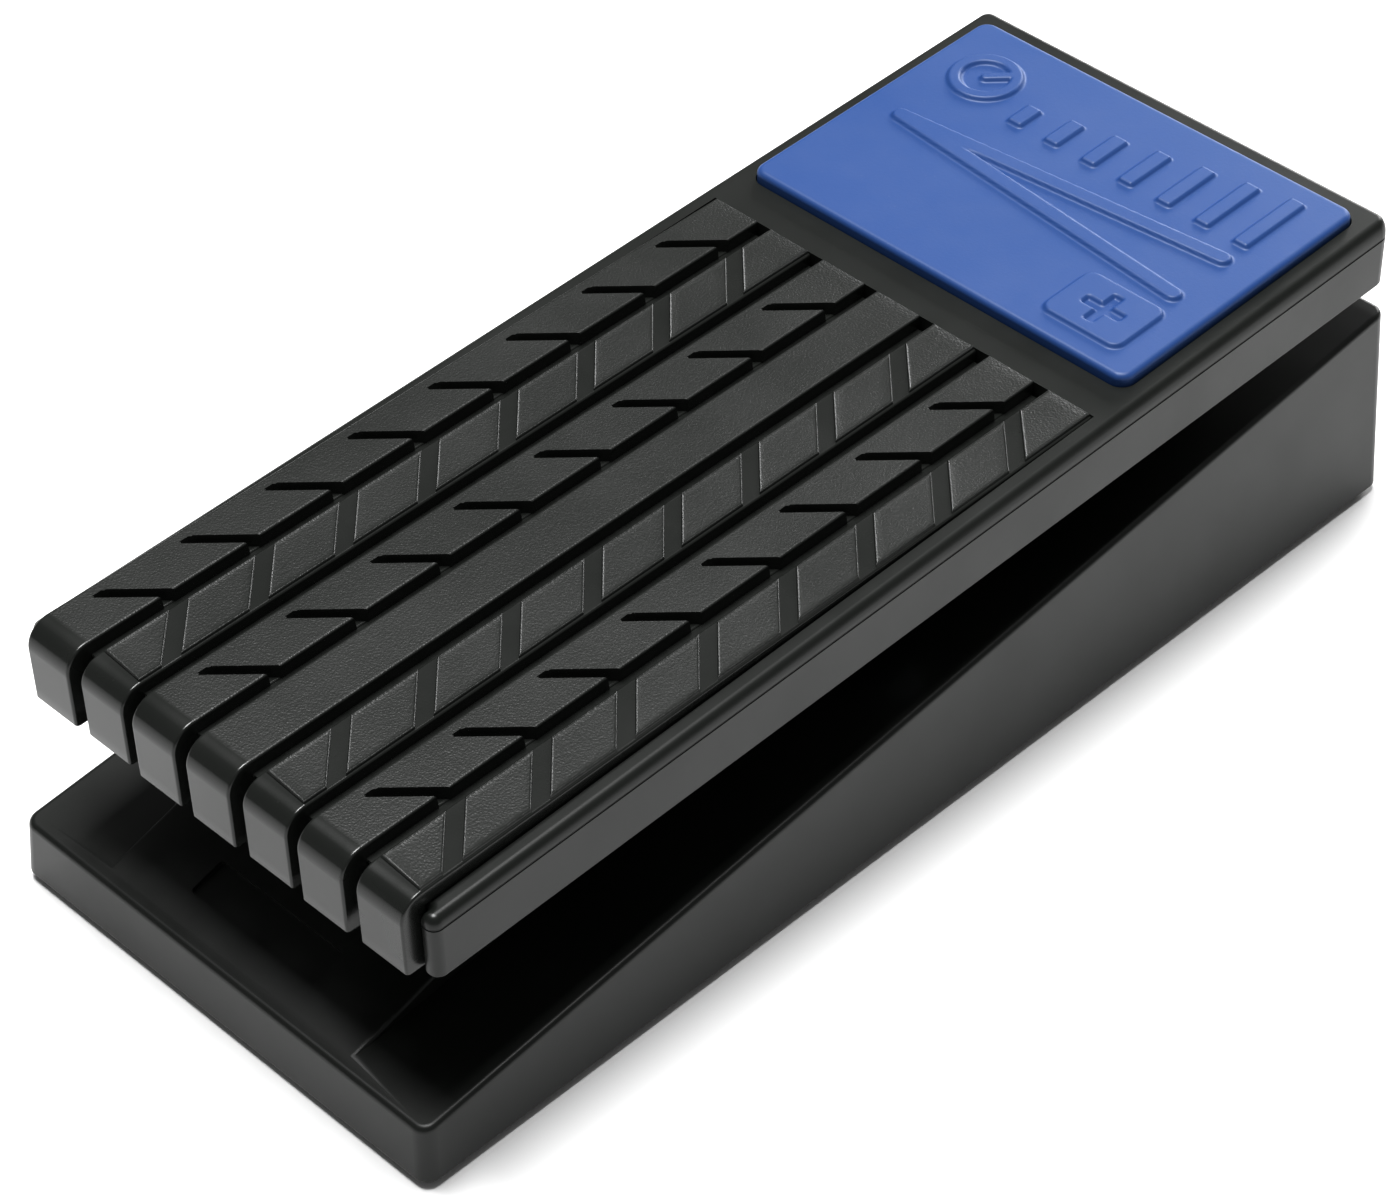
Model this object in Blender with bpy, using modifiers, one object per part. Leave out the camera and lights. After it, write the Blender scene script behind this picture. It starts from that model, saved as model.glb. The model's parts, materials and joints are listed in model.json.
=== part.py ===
"""Volume pedal: a rocking treadle on a low moulded base, geared to a potentiometer.

The pedal frame has +Y to the toe, +X to the right and +Z up. Its origin is on the floor under the
middle of the whole object. Pieces of the base are placed from the middle of the base's bottom edge,
and pieces of the treadle from the pivot axle, in a frame that tilts with the treadle.
"""
import math

import bmesh
import bpy
from mathutils import Matrix, Vector

MM = 0.001

# Base case
BASE_WIDTH = 110 * MM
BASE_LENGTH = 266 * MM
HEEL_WALL_HEIGHT = 12.7 * MM
TOE_WALL_HEIGHT = 44.5 * MM
WALL = 2.6 * MM
WALL_DRAFT = 0.055
CORNER_RADIUS = 3.0 * MM
RIM_RADIUS = 1.0 * MM
PANEL_DEPTH = 0.6 * MM
PANEL_SIDE_MARGIN = 2.5 * MM
PANEL_HEIGHT = 25 * MM

# Raised housing over the works, with its ramp at the heel
DECK_WIDTH = 22 * MM
HOUSING_TOP = 47.7 * MM
RAMP_ANGLE = math.radians(18)
RAMP_SETBACK = 3.8 * MM
HOUSING_TOE_SETBACK = 27 * MM
LABEL_WIDTH = 33 * MM
LABEL_LENGTH = 8 * MM
LABEL_DEPTH = 0.7 * MM
LABEL_SETBACK = 5.2 * MM

# Bottom plate, feet and the screws that hold the plate
PLATE_THICKNESS = 1.6 * MM
PLATE_RECESS = 0.3 * MM
FOOT_RADIUS = 8.0 * MM
FOOT_THICKNESS = 1.5 * MM
FOOT_INSET_X = 13 * MM
FOOT_INSET_HEEL = 29 * MM
FOOT_INSET_TOE = 25 * MM
BOSS_RADIUS = 4.0 * MM
BOSS_INSET_X = 10 * MM
BOSS_INSET_HEEL = 15 * MM
BOSS_INSET_TOE = 41 * MM
PLATE_SCREW_RADIUS = 1.25 * MM
PLATE_SCREW_LENGTH = 9.0 * MM
PLATE_SCREW_HEAD = 2.6 * MM
SCREW_HEAD_THICKNESS = 1.0 * MM

# Treadle, measured from its axle: along Y to the toe, along Z square to its top
PIVOT_HEIGHT = 40 * MM
TREADLE_PITCH = math.radians(1.92)
TREADLE_TOE_DOWN = math.radians(3.0)
TREADLE_HEEL_DOWN = math.radians(12.5)
TREAD_RISE = 26.1 * MM
TREADLE_SIDE_SETBACK = 2.3 * MM
TREADLE_HEEL_SETBACK = 7.4 * MM
TREADLE_TOE_SETBACK = 4.1 * MM
TREADLE_WALL = 2.5 * MM
TREADLE_TOP = 3.0 * MM
SKIRT_HEIGHT = 13.5 * MM
TREADLE_EDGE_RADIUS = 1.8 * MM
RAIL_HEEL_RISE = 0.3 * MM
DECK_TOE_RISE = 2.0 * MM
TREADLE_CORNER_RADIUS = 3.0 * MM

# Tread mat
MAT_THICKNESS = 3.7 * MM
MAT_TOE_DROP = 2.2 * MM
RAIL_WIDTH = 4.2 * MM
MAT_TO_BADGE = 9.3 * MM
STRIP_COUNT = 7
GROOVE_WIDTH = 3.0 * MM
GROOVE_DEPTH = 3.0 * MM
HEEL_LIP_THICKNESS = 5.7 * MM
HEEL_LIP_DROP = 17 * MM
HEEL_LIP_RADIUS = 4.5 * MM
CUT_PITCH = 20 * MM
CUT_WIDTH = 1.8 * MM
CUT_DEPTH = 2.9 * MM
CUT_COUNT = 8
CUT_STRIPS = (0, 2, 5)
CUT_BLIND_END = 2.6 * MM
CUT_TOE_SETBACK = 8.2 * MM

# Badge plate with its raised marks
BADGE_SIDE_MARGIN = 4.7 * MM
BADGE_LENGTH = 70 * MM
BADGE_THICKNESS = 4.5 * MM
BADGE_TOE_SETBACK = 5.7 * MM
BADGE_POCKET_DEPTH = 0.8 * MM
BADGE_CORNER_RADIUS = 3.0 * MM
BADGE_EDGE_RADIUS = 1.2 * MM
MARK_HEIGHT = 0.9 * MM
MARK_STROKE = 3.6 * MM
MARK_MARGIN = 7.5 * MM
LEVEL_BARS = 9
LEVEL_BAR_LONGEST = 30 * MM
LEVEL_BAR_SHORTEST = 5 * MM

# Axle, bushes, washers and clips
AXLE_RADIUS = 3.0 * MM
AXLE_CLEARANCE = 0.12 * MM
AXLE_END = 1.8 * MM
CLIP_GROOVE_DEPTH = 0.5 * MM
CLIP_THICKNESS = 0.8 * MM
CLIP_RADIUS = 5.2 * MM
CLIP_GAP_ANGLE = math.radians(70)
BUSH_RADIUS = 4.5 * MM
BUSH_FLANGE_RADIUS = 6.0 * MM
BUSH_FLANGE_THICKNESS = 0.9 * MM
THRUST_WASHER_THICKNESS = 0.8 * MM
LUG_THICKNESS = 5.0 * MM
LUG_RADIUS = 6.5 * MM
LUG_ROOT = 34 * MM
LUG_SHOULDER = math.radians(20)

# Toothed sector and pinion
GEAR_MODULE = 1.0 * MM
SECTOR_FULL_TEETH = 170
PINION_TEETH = 10
PRESSURE_ANGLE = math.radians(25)
ADDENDUM = 0.8
DEDENDUM = 1.05
BACKLASH = 0.14 * MM
PINION_DIRECTION = math.radians(-4.5)
SECTOR_TEETH_BELOW = 8
SECTOR_TEETH_ABOVE = 3
SECTOR_BAND = 6.5 * MM
SECTOR_THICKNESS = 4.0 * MM
SECTOR_ARM_WIDTH = 9.0 * MM
PINION_FACE = 5.0 * MM
SLOT_SIDE_CLEARANCE = 2.0 * MM
SLOT_HEEL_ROOM = 14 * MM
SLOT_TOE_ROOM = 6 * MM
RACK_RIB_THICKNESS = 2.5 * MM
RACK_RIB_DROP = 7.5 * MM
RACK_SCREW_RADIUS = 1.2 * MM
RACK_SCREW_SPACING = 4.8 * MM
RACK_SCREW_HEAD = 2.2 * MM

# Volume potentiometer, its bracket and leads
POT_SHAFT_RADIUS = 2.0 * MM
POT_RADIUS = 8.5 * MM
POT_DEPTH = 8.0 * MM
POT_THREAD_RADIUS = 3.2 * MM
BRACKET_THICKNESS = 1.2 * MM
BRACKET_WIDTH = 20 * MM
BRACKET_FOOT = 15 * MM
BRACKET_SCREW_INSET = 4 * MM
POT_NUT_THICKNESS = 1.4 * MM
POT_NUT_RIM = 2.0 * MM
LEAD_RADIUS = 0.6 * MM
LEAD_SPACING = 2.6 * MM

# Jacks, minimum-volume trimmer and jack board
CONNECTOR_HEIGHT = 24 * MM
JACK_SPACING = 18 * MM
JACK_SIDE_MARGIN = 13 * MM
JACK_BODY_WIDTH = 12 * MM
JACK_BODY_HEIGHT = 13 * MM
JACK_BODY_LENGTH = 22.4 * MM
JACK_THREAD_RADIUS = 4.7 * MM
JACK_BORE_RADIUS = 3.25 * MM
JACK_BORE_DEPTH = 20 * MM
JACK_STANDOFF = 4.2 * MM
NUT_THICKNESS = 2.0 * MM
NUT_RIM = 2.6 * MM
TRIM_NUT_RIM = 2.1 * MM
WASHER_THICKNESS = 0.6 * MM
TRIM_BODY_SIZE = 12 * MM
TRIM_BODY_LENGTH = 9 * MM
TRIM_THREAD_RADIUS = 3.5 * MM
TRIM_SHAFT_RADIUS = 1.6 * MM
KNOB_RADIUS = 6.5 * MM
KNOB_LENGTH = 9 * MM
KNOB_FLUTES = 12
KNOB_FLUTE_DEPTH = 0.5 * MM
KNOB_FACE_THICKNESS = 2.5 * MM
POINTER_WIDTH = 0.8 * MM
POINTER_DEPTH = 0.6 * MM
BOARD_THICKNESS = 1.6 * MM
BOARD_SIDE_MARGIN = 6 * MM
BOARD_HEIGHT = 20 * MM
BOARD_RIB_X = 12 * MM
BOARD_RIB_WIDTH = 8 * MM
BOARD_RIB_DEPTH = 4 * MM
BOARD_RIB_DROP = 3 * MM
BOARD_SCREW_RADIUS = 1.0 * MM
BOARD_SCREW_LENGTH = 5.0 * MM
BOARD_SCREW_HEAD = 2.0 * MM

# Rubber bumpers
BUMPER_RADIUS = 6.0 * MM
BUMPER_GAP = 0.5 * MM
HEEL_BUMPER_Y = -98 * MM
TOE_BUMPER_Y = 56 * MM

# Fits
GAP = 0.3 * MM
SCREW_CLEARANCE = 0.3 * MM
OVERLAP = 1.0 * MM
ROUND_STEPS = 24
MERGE = 0.00005

# Places that follow from the sizes
HALF_LENGTH = BASE_LENGTH / 2
HOUSING_WIDTH = BASE_WIDTH - 2 * DECK_WIDTH
TREADLE_WIDTH = BASE_WIDTH - 2 * TREADLE_SIDE_SETBACK
TREADLE_HEEL_REACH = HALF_LENGTH - TREADLE_HEEL_SETBACK
TREADLE_TOE_REACH = HALF_LENGTH - TREADLE_TOE_SETBACK
MAT_WIDTH = TREADLE_WIDTH - 2 * RAIL_WIDTH
MAT_TOE_REACH = TREADLE_TOE_REACH - BADGE_TOE_SETBACK - BADGE_LENGTH - MAT_TO_BADGE
BADGE_WIDTH = TREADLE_WIDTH - 2 * BADGE_SIDE_MARGIN
JACK_OUTER_X = BASE_WIDTH / 2 - JACK_SIDE_MARGIN
JACK_INNER_X = JACK_OUTER_X - JACK_SPACING
BOARD_WIDTH = BASE_WIDTH - 2 * BOARD_SIDE_MARGIN
PANEL_HIGH = CONNECTOR_HEIGHT + PANEL_HEIGHT / 2
PANEL_Y = HALF_LENGTH - WALL_DRAFT * PANEL_HIGH - PANEL_DEPTH
CAVITY_TOE_Y = PANEL_Y - WALL
PLATE_TOP = PLATE_RECESS + PLATE_THICKNESS
WASHER_Y = PANEL_Y + GAP
NUT_Y = WASHER_Y + WASHER_THICKNESS + GAP
SLEEVE_END_Y = PANEL_Y + JACK_STANDOFF
KNOB_Y = NUT_Y + NUT_THICKNESS + 2 * GAP + OVERLAP
KNOB_TIP_Y = KNOB_Y + KNOB_LENGTH
MIDDLE_Y = (KNOB_TIP_Y - HALF_LENGTH) / 2
SECTOR_RADIUS = GEAR_MODULE * SECTOR_FULL_TEETH / 2
PINION_RADIUS = GEAR_MODULE * PINION_TEETH / 2
CENTRE_DISTANCE = SECTOR_RADIUS + PINION_RADIUS
PINION_Y = CENTRE_DISTANCE * math.cos(PINION_DIRECTION)
PINION_Z = PIVOT_HEIGHT + CENTRE_DISTANCE * math.sin(PINION_DIRECTION)
SHELL_TOP = TREAD_RISE - MAT_THICKNESS - GAP
SHELL_UNDERSIDE = SHELL_TOP - TREADLE_TOP
SKIRT_BOTTOM = SHELL_TOP - SKIRT_HEIGHT
LIP_BOTTOM = TREAD_RISE - HEEL_LIP_DROP
STRIP_PITCH = (MAT_WIDTH + GROOVE_WIDTH) / STRIP_COUNT
MAT_HEEL_Y = -(TREADLE_HEEL_REACH - TREADLE_WALL) - GAP - HEEL_LIP_THICKNESS
HOUSING_SIDE = HOUSING_WIDTH / 2
FLANGE_X = HOUSING_SIDE + GAP
THRUST_X = FLANGE_X + BUSH_FLANGE_THICKNESS + GAP
LUG_X = THRUST_X + THRUST_WASHER_THICKNESS + GAP
CLIP_X = LUG_X + LUG_THICKNESS + GAP
AXLE_HALF = CLIP_X + CLIP_THICKNESS + AXLE_END
RAMP_START_Y = -HALF_LENGTH + RAMP_SETBACK
JACKS = (
    ("input_jack_left", -JACK_OUTER_X),
    ("input_jack_right", -JACK_INNER_X),
    ("output_jack_left", JACK_INNER_X),
    ("output_jack_right", JACK_OUTER_X),
)

# Finishes: colour, roughness, metallic
FINISHES = {
    "black_plastic": ((0.018, 0.020, 0.018), 0.42, 0.0),
    "tread_plastic": ((0.022, 0.024, 0.022), 0.55, 0.0),
    "blue_plastic": ((0.030, 0.110, 0.480), 0.45, 0.0),
    "grey_plastic": ((0.090, 0.090, 0.095), 0.50, 0.0),
    "white_plastic": ((0.720, 0.710, 0.680), 0.45, 0.0),
    "rubber": ((0.020, 0.020, 0.020), 0.85, 0.0),
    "steel": ((0.560, 0.570, 0.580), 0.32, 1.0),
    "nickel": ((0.680, 0.670, 0.640), 0.22, 1.0),
    "brass": ((0.700, 0.520, 0.250), 0.35, 1.0),
    "circuit_board": ((0.330, 0.200, 0.090), 0.55, 0.0),
    "lead_red": ((0.450, 0.030, 0.025), 0.50, 0.0),
}


def clear_scene():
    """Remove every object that the file starts with."""
    for thing in list(bpy.data.objects):
        bpy.data.objects.remove(thing, do_unlink=True)


def new_collection(name):
    """A collection linked to the scene."""
    group = bpy.data.collections.new(name)
    bpy.context.scene.collection.children.link(group)
    return group


clear_scene()
PARTS = new_collection("volume_pedal")
CUTTERS = new_collection("cutters")


def empty(name, place, parent=None, tilt=0.0):
    """An empty that stands for a frame of reference or a joint's axis."""
    frame = bpy.data.objects.new(name, None)
    frame.location = place
    frame.rotation_euler.x = tilt
    frame.empty_display_size = 10 * MM
    frame.parent = parent
    PARTS.objects.link(frame)
    return frame


PEDAL = empty("pedal_frame", (0, -MIDDLE_Y, FOOT_THICKNESS))
TREADLE = empty("treadle_pivot", (0, 0, PIVOT_HEIGHT), PEDAL, TREADLE_PITCH)
PINION = empty("pinion_axis", (0, PINION_Y, PINION_Z), PEDAL)
KNOB = empty("knob_axis", (0, 0, CONNECTOR_HEIGHT), PEDAL)


def deck_height(y):
    """Height of the sloping deck and wall tops over a place along the base."""
    inset_heel = HALF_LENGTH - WALL_DRAFT * HEEL_WALL_HEIGHT
    inset_toe = HALF_LENGTH - WALL_DRAFT * TOE_WALL_HEIGHT
    share = (y + inset_heel) / (inset_heel + inset_toe)
    return HEEL_WALL_HEIGHT + share * (TOE_WALL_HEIGHT - HEEL_WALL_HEIGHT)


def dress(piece, finish):
    """Give a piece a material of its own with the colour, roughness and metallic value of its finish."""
    colour, roughness, metallic = FINISHES[finish]
    material = bpy.data.materials.new(piece.name + "_finish")
    material.use_nodes = True
    shader = material.node_tree.nodes["Principled BSDF"]
    shader.inputs["Base Color"].default_value = (*colour, 1.0)
    shader.inputs["Roughness"].default_value = roughness
    shader.inputs["Metallic"].default_value = metallic
    material.diffuse_color = (*colour, 1.0)
    piece.data.materials.clear()
    piece.data.materials.append(material)


def part(name, mesh, parent, finish, matrix=None):
    """Put a mesh into the pedal as a named piece."""
    piece = bpy.data.objects.new(name, mesh)
    piece.parent = parent
    piece.matrix_basis = matrix or Matrix()
    PARTS.objects.link(piece)
    dress(piece, finish)
    mesh.shade_smooth()
    mesh.set_sharp_from_angle(angle=math.radians(35))
    return piece


def tool(mesh, parent, matrix=None):
    """A mesh that cuts or joins another piece and isn't a part itself."""
    cutter = bpy.data.objects.new("tool", mesh)
    cutter.parent = parent
    cutter.matrix_basis = matrix or Matrix()
    cutter.hide_render = True
    cutter.display_type = "WIRE"
    CUTTERS.objects.link(cutter)
    return cutter


def combine(piece, operation, mesh, matrix=None):
    """Join a shape to a piece, or cut it from the piece, in the frame of the piece's parent."""
    modifier = piece.modifiers.new(operation.lower(), "BOOLEAN")
    modifier.operation = operation
    modifier.object = tool(mesh, piece.parent, matrix)


def join(piece, mesh, matrix=None):
    """Join a shape to a piece."""
    combine(piece, "UNION", mesh, matrix)


def cut(piece, mesh, matrix=None):
    """Cut a shape from a piece."""
    combine(piece, "DIFFERENCE", mesh, matrix)


def mesh_of(shape):
    """Turn a bmesh into a mesh and free it."""
    mesh = bpy.data.meshes.new("shape")
    shape.to_mesh(mesh)
    shape.free()
    return mesh


def box_matrix(low, high):
    """The matrix that turns a unit cube into the box between two corners."""
    low, high = Vector(low), Vector(high)
    return Matrix.Translation((low + high) / 2) @ Matrix.Diagonal((*(high - low), 1.0))


def boxes(*corners):
    """One mesh of boxes, each from its low to its high corner."""
    shape = bmesh.new()
    for low, high in corners:
        bmesh.ops.create_cube(shape, size=1.0, matrix=box_matrix(low, high))
    return mesh_of(shape)


def rounded_box(low, high, corner, edge, steps=3):
    """A box with rounded upright corners and a rounded edge round its top."""
    shape = bmesh.new()
    bmesh.ops.create_cube(shape, size=1.0, matrix=box_matrix(low, high))
    upright = [e for e in shape.edges if abs(e.verts[0].co.z - e.verts[1].co.z) > MERGE]
    bmesh.ops.bevel(shape, geom=upright, offset=corner, segments=steps, profile=0.5, affect="EDGES")
    if edge:
        rims = [e for e in shape.edges if on_level(e, high[2])]
        bmesh.ops.bevel(shape, geom=rims, offset=edge, segments=2, profile=0.5, affect="EDGES")
    return shape


def on_level(edge, height):
    """Whether both ends of an edge lie at one height."""
    return all(abs(corner.co.z - height) < MERGE for corner in edge.verts)


def drafted_box(width, heel_y, toe_y, heel_height, toe_height, corner, edge, steps=3):
    """A block on the floor whose walls lean in and whose top slopes from the heel to the toe."""
    middle, half = (heel_y + toe_y) / 2, (toe_y - heel_y) / 2
    tall = max(heel_height, toe_height)
    shape = rounded_box((-width / 2, -half, 0), (width / 2, half, tall), corner, edge, steps=steps)
    for corner_point in shape.verts:
        x, y, z = corner_point.co
        top = heel_height + (y + half) / (2 * half) * (toe_height - heel_height)
        height = max(top - (tall - z), 0.0) if z > tall / 2 else z
        inset = WALL_DRAFT * height
        corner_point.co = (x * (1 - 2 * inset / width), middle + y * (1 - inset / half), height)
    return mesh_of(shape)


def rod(radius, start, end, steps=ROUND_STEPS):
    """A cylinder between two points."""
    start, end = Vector(start), Vector(end)
    along = end - start
    turn = along.to_track_quat("Z", "Y").to_matrix().to_4x4()
    shape = bmesh.new()
    bmesh.ops.create_cone(
        shape, cap_ends=True, segments=steps, radius1=radius, radius2=radius, depth=along.length,
        matrix=Matrix.Translation((start + end) / 2) @ turn,
    )
    return mesh_of(shape)


def turned(name, profile, parent, finish, place=(0, 0, 0), axis="Z", closed=False, steps=ROUND_STEPS):
    """A turned piece: its profile of (radius, height) points is swept round its axis."""
    count = len(profile)
    edges = [(i, (i + 1) % count) for i in range(count if closed else count - 1)]
    mesh = bpy.data.meshes.new("profile")
    mesh.from_pydata([(r, 0, z) for r, z in profile], edges, [])
    piece = part(name, mesh, parent, finish, Matrix.Translation(place) @ axis_turn(axis))
    screw = piece.modifiers.new("turn", "SCREW")
    screw.steps = screw.render_steps = steps
    screw.use_merge_vertices = True
    screw.merge_threshold = MERGE
    screw.use_smooth_shade = True
    return piece


def axis_turn(axis):
    """The rotation that lays the Z axis along an axis named by its letter, with a minus to reverse it."""
    target = Vector((0, 0, 0))
    target["XYZ".index(axis[-1])] = -1 if axis.startswith("-") else 1
    return target.to_track_quat("Z", "Y").to_matrix().to_4x4()


def ring_profile(outer, inner, low, high):
    """The section of a plain ring."""
    return [(outer, high), (outer, low), (inner, low), (inner, high)]


def pan_screw_profile(head, shank, length):
    """The section of a pan-head screw that points along +Z, its head under z = 0."""
    low = -SCREW_HEAD_THICKNESS
    return [(0, length), (shank, length), (shank, 0), (head, 0), (head, low / 2), (head * 0.8, low), (0, low)]


def outline_mesh(loops, thickness):
    """A plate with the given closed outlines: it lies in the XY plane, half its thickness on each side."""
    curve = bpy.data.curves.new("outline", "CURVE")
    curve.dimensions = "2D"
    curve.fill_mode = "BOTH"
    curve.extrude = thickness / 2
    for loop in loops:
        spline = curve.splines.new("POLY")
        spline.points.add(len(loop) - 1)
        for point, (x, y) in zip(spline.points, loop):
            point.co = (x, y, 0, 1)
        spline.use_cyclic_u = True
    source = bpy.data.objects.new("outline", curve)
    CUTTERS.objects.link(source)
    bpy.context.view_layer.update()
    graph = bpy.context.evaluated_depsgraph_get()
    mesh = bpy.data.meshes.new_from_object(source.evaluated_get(graph))
    bpy.data.objects.remove(source, do_unlink=True)
    shape = bmesh.new()
    shape.from_mesh(mesh)
    bmesh.ops.remove_doubles(shape, verts=shape.verts, dist=MERGE)
    bmesh.ops.recalc_face_normals(shape, faces=shape.faces)
    shape.to_mesh(mesh)
    shape.free()
    return mesh


def side_on(x):
    """The matrix that stands an outline of (Y, Z) points upright, square to X, at a place along X."""
    return Matrix(((0, 0, 1, x), (1, 0, 0, 0), (0, 1, 0, 0), (0, 0, 0, 1)))


def face_on(y):
    """The matrix that stands an outline of (X, Z) points upright, square to Y, at a place along Y."""
    return Matrix(((1, 0, 0, 0), (0, 0, -1, y), (0, 1, 0, 0), (0, 0, 0, 1)))


def arc(centre, radius, start, end, steps):
    """Points on an arc, both ends included."""
    angles = [start + (end - start) * i / steps for i in range(steps + 1)]
    return [(centre[0] + radius * math.cos(a), centre[1] + radius * math.sin(a)) for a in angles]


def circle(centre, radius, steps=ROUND_STEPS):
    """Points round a circle."""
    return arc(centre, radius, 0, 2 * math.pi, steps)[:-1]


def hexagon(size):
    """Corners of a hexagon with the given distance from its middle to a corner."""
    return circle((0, 0), size, 6)


def involute(angle):
    """The involute function."""
    return math.tan(angle) - angle


def tooth_flank(teeth, steps=3):
    """(radius, half angle) pairs of one tooth flank from its root to its tip."""
    pitch = GEAR_MODULE * teeth / 2
    base = pitch * math.cos(PRESSURE_ANGLE)
    root, tip = pitch - DEDENDUM * GEAR_MODULE, pitch + ADDENDUM * GEAR_MODULE
    half = math.pi / (2 * teeth) - BACKLASH / (4 * pitch)
    start = max(base, root)
    flank = []
    for i in range(steps + 1):
        radius = start + (tip - start) * i / steps
        flank.append((radius, half + involute(PRESSURE_ANGLE) - involute(math.acos(base / radius))))
    if root < base:
        flank.insert(0, (root, flank[0][1]))
    return flank


def tooth(teeth, centre):
    """Points of one tooth round its centre angle, in the direction of growing angle."""
    flank = tooth_flank(teeth)
    rising = [(r, centre - half) for r, half in flank]
    falling = [(r, centre + half) for r, half in reversed(flank)]
    return [(r * math.cos(a), r * math.sin(a)) for r, a in rising + falling]


def base_case():
    """The moulded case: drafted walls, sloping deck, raised housing, bosses, ribs and openings."""
    mesh = drafted_box(
        BASE_WIDTH, -HALF_LENGTH, HALF_LENGTH, HEEL_WALL_HEIGHT, TOE_WALL_HEIGHT, CORNER_RADIUS, RIM_RADIUS)
    case = part("base_case", mesh, PEDAL, "black_plastic")
    join(case, outline_mesh([housing_outline(0)], HOUSING_WIDTH), side_on(0))
    cavity = drafted_box(
        BASE_WIDTH - 2 * WALL, -HALF_LENGTH + WALL, CAVITY_TOE_Y + WALL_DRAFT * TOE_WALL_HEIGHT,
        HEEL_WALL_HEIGHT - WALL, TOE_WALL_HEIGHT - WALL, CORNER_RADIUS / 2, 0)
    cut(case, cavity)
    cut(case, outline_mesh([housing_outline(WALL)], HOUSING_WIDTH - 2 * WALL), side_on(0))
    toe_room = ((-BASE_WIDTH / 2 + 2 * WALL, CAVITY_TOE_Y - 2 * WALL, -OVERLAP),
                (BASE_WIDTH / 2 - 2 * WALL, CAVITY_TOE_Y, PANEL_HIGH))
    mouth = ((-BASE_WIDTH / 2 + WALL, -HALF_LENGTH + WALL, -OVERLAP),
             (BASE_WIDTH / 2 - WALL, CAVITY_TOE_Y, PLATE_TOP + GAP))
    cut(case, boxes(toe_room))
    cut(case, boxes(mouth))
    add_bosses(case)
    cut_openings(case)
    return case


def housing_outline(inset):
    """(Y, Z) outline of the raised housing, or of the room inside it when inset is the wall."""
    low = -OVERLAP if inset else WALL + OVERLAP
    top = HOUSING_TOP - inset
    sink = inset / math.cos(RAMP_ANGLE)
    start = RAMP_START_Y + (sink + OVERLAP) / math.tan(RAMP_ANGLE) if inset else RAMP_START_Y
    start_height = deck_height(RAMP_START_Y) + (OVERLAP if inset else 0)
    crest = RAMP_START_Y + (top + sink - deck_height(RAMP_START_Y)) / math.tan(RAMP_ANGLE)
    toe = HALF_LENGTH - HOUSING_TOE_SETBACK - inset
    return [(start, low), (toe, low), (toe, top), (crest, top), (start, start_height)]


def boss_places():
    """(X, Y) of the six screw bosses, heel to toe."""
    x = BASE_WIDTH / 2 - BOSS_INSET_X
    heel, toe = -HALF_LENGTH + BOSS_INSET_HEEL, HALF_LENGTH - BOSS_INSET_TOE
    rows = (heel, (heel + toe) / 2, toe)
    return [(side * x, y) for y in rows for side in (-1, 1)]


def add_bosses(case):
    """Screw bosses under the deck and ribs that hold the jack board."""
    for x, y in boss_places():
        join(case, rod(BOSS_RADIUS, (x, y, PLATE_TOP + GAP), (x, y, deck_height(y) - WALL / 2), 16))
        pilot = PLATE_SCREW_RADIUS + SCREW_CLEARANCE
        top = PLATE_SCREW_LENGTH + GAP
        cut(case, rod(pilot, (x, y, PLATE_TOP - OVERLAP), (x, y, top), 12))
    for side in (-1, 1):
        low, high = board_rib(side * BOARD_RIB_X)
        join(case, boxes((low, high)))
        cut(case, rod(BOARD_SCREW_RADIUS + GAP, (side * BOARD_RIB_X, low[1] - GAP, board_screw_height()),
                      (side * BOARD_RIB_X, high[1] + GAP, board_screw_height()), 12))


def board_toe_y():
    """Where the jack board's toe face stands, behind the jack bodies."""
    return CAVITY_TOE_Y - GAP - JACK_BODY_LENGTH - GAP


def board_screw_height():
    """Height of the jack board's screws."""
    return CONNECTOR_HEIGHT + BOARD_HEIGHT / 2 - 3 * BOARD_SCREW_RADIUS


def board_rib(x):
    """Corners of one rib that hangs from the housing and carries the jack board, clear of the pot."""
    toe = board_toe_y() - BOARD_THICKNESS - GAP
    heel = max(toe - BOARD_RIB_DEPTH, PINION_Y + POT_RADIUS + GAP)
    low = (x - BOARD_RIB_WIDTH / 2, heel, board_screw_height() - BOARD_RIB_DROP)
    return low, (x + BOARD_RIB_WIDTH / 2, toe, HOUSING_TOP - WALL / 2)


def cut_openings(case):
    """Axle holes, slot for the toothed sector, recessed jack panel with its holes, and label recess."""
    reach = HOUSING_SIDE + OVERLAP
    cut(case, rod(BUSH_RADIUS + GAP, (-reach, 0, PIVOT_HEIGHT), (reach, 0, PIVOT_HEIGHT)))
    half = SECTOR_THICKNESS / 2 + SLOT_SIDE_CLEARANCE
    slot = ((-half, SECTOR_RADIUS - SLOT_HEEL_ROOM, HOUSING_TOP - 2 * WALL),
            (half, SECTOR_RADIUS + SLOT_TOE_ROOM, HOUSING_TOP + OVERLAP))
    cut(case, boxes(slot))
    side = BASE_WIDTH / 2 - WALL_DRAFT * PANEL_HIGH - PANEL_SIDE_MARGIN
    low = CONNECTOR_HEIGHT - PANEL_HEIGHT / 2
    cut(case, boxes(((-side, PANEL_Y, low), (side, HALF_LENGTH + OVERLAP, PANEL_HIGH))))
    for _, x in JACKS:
        cut(case, panel_hole(x, JACK_THREAD_RADIUS + GAP))
    cut(case, panel_hole(0, TRIM_THREAD_RADIUS + GAP))
    cut(case, label_block(), ramp_matrix(LABEL_SETBACK + LABEL_LENGTH / 2))


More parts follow.
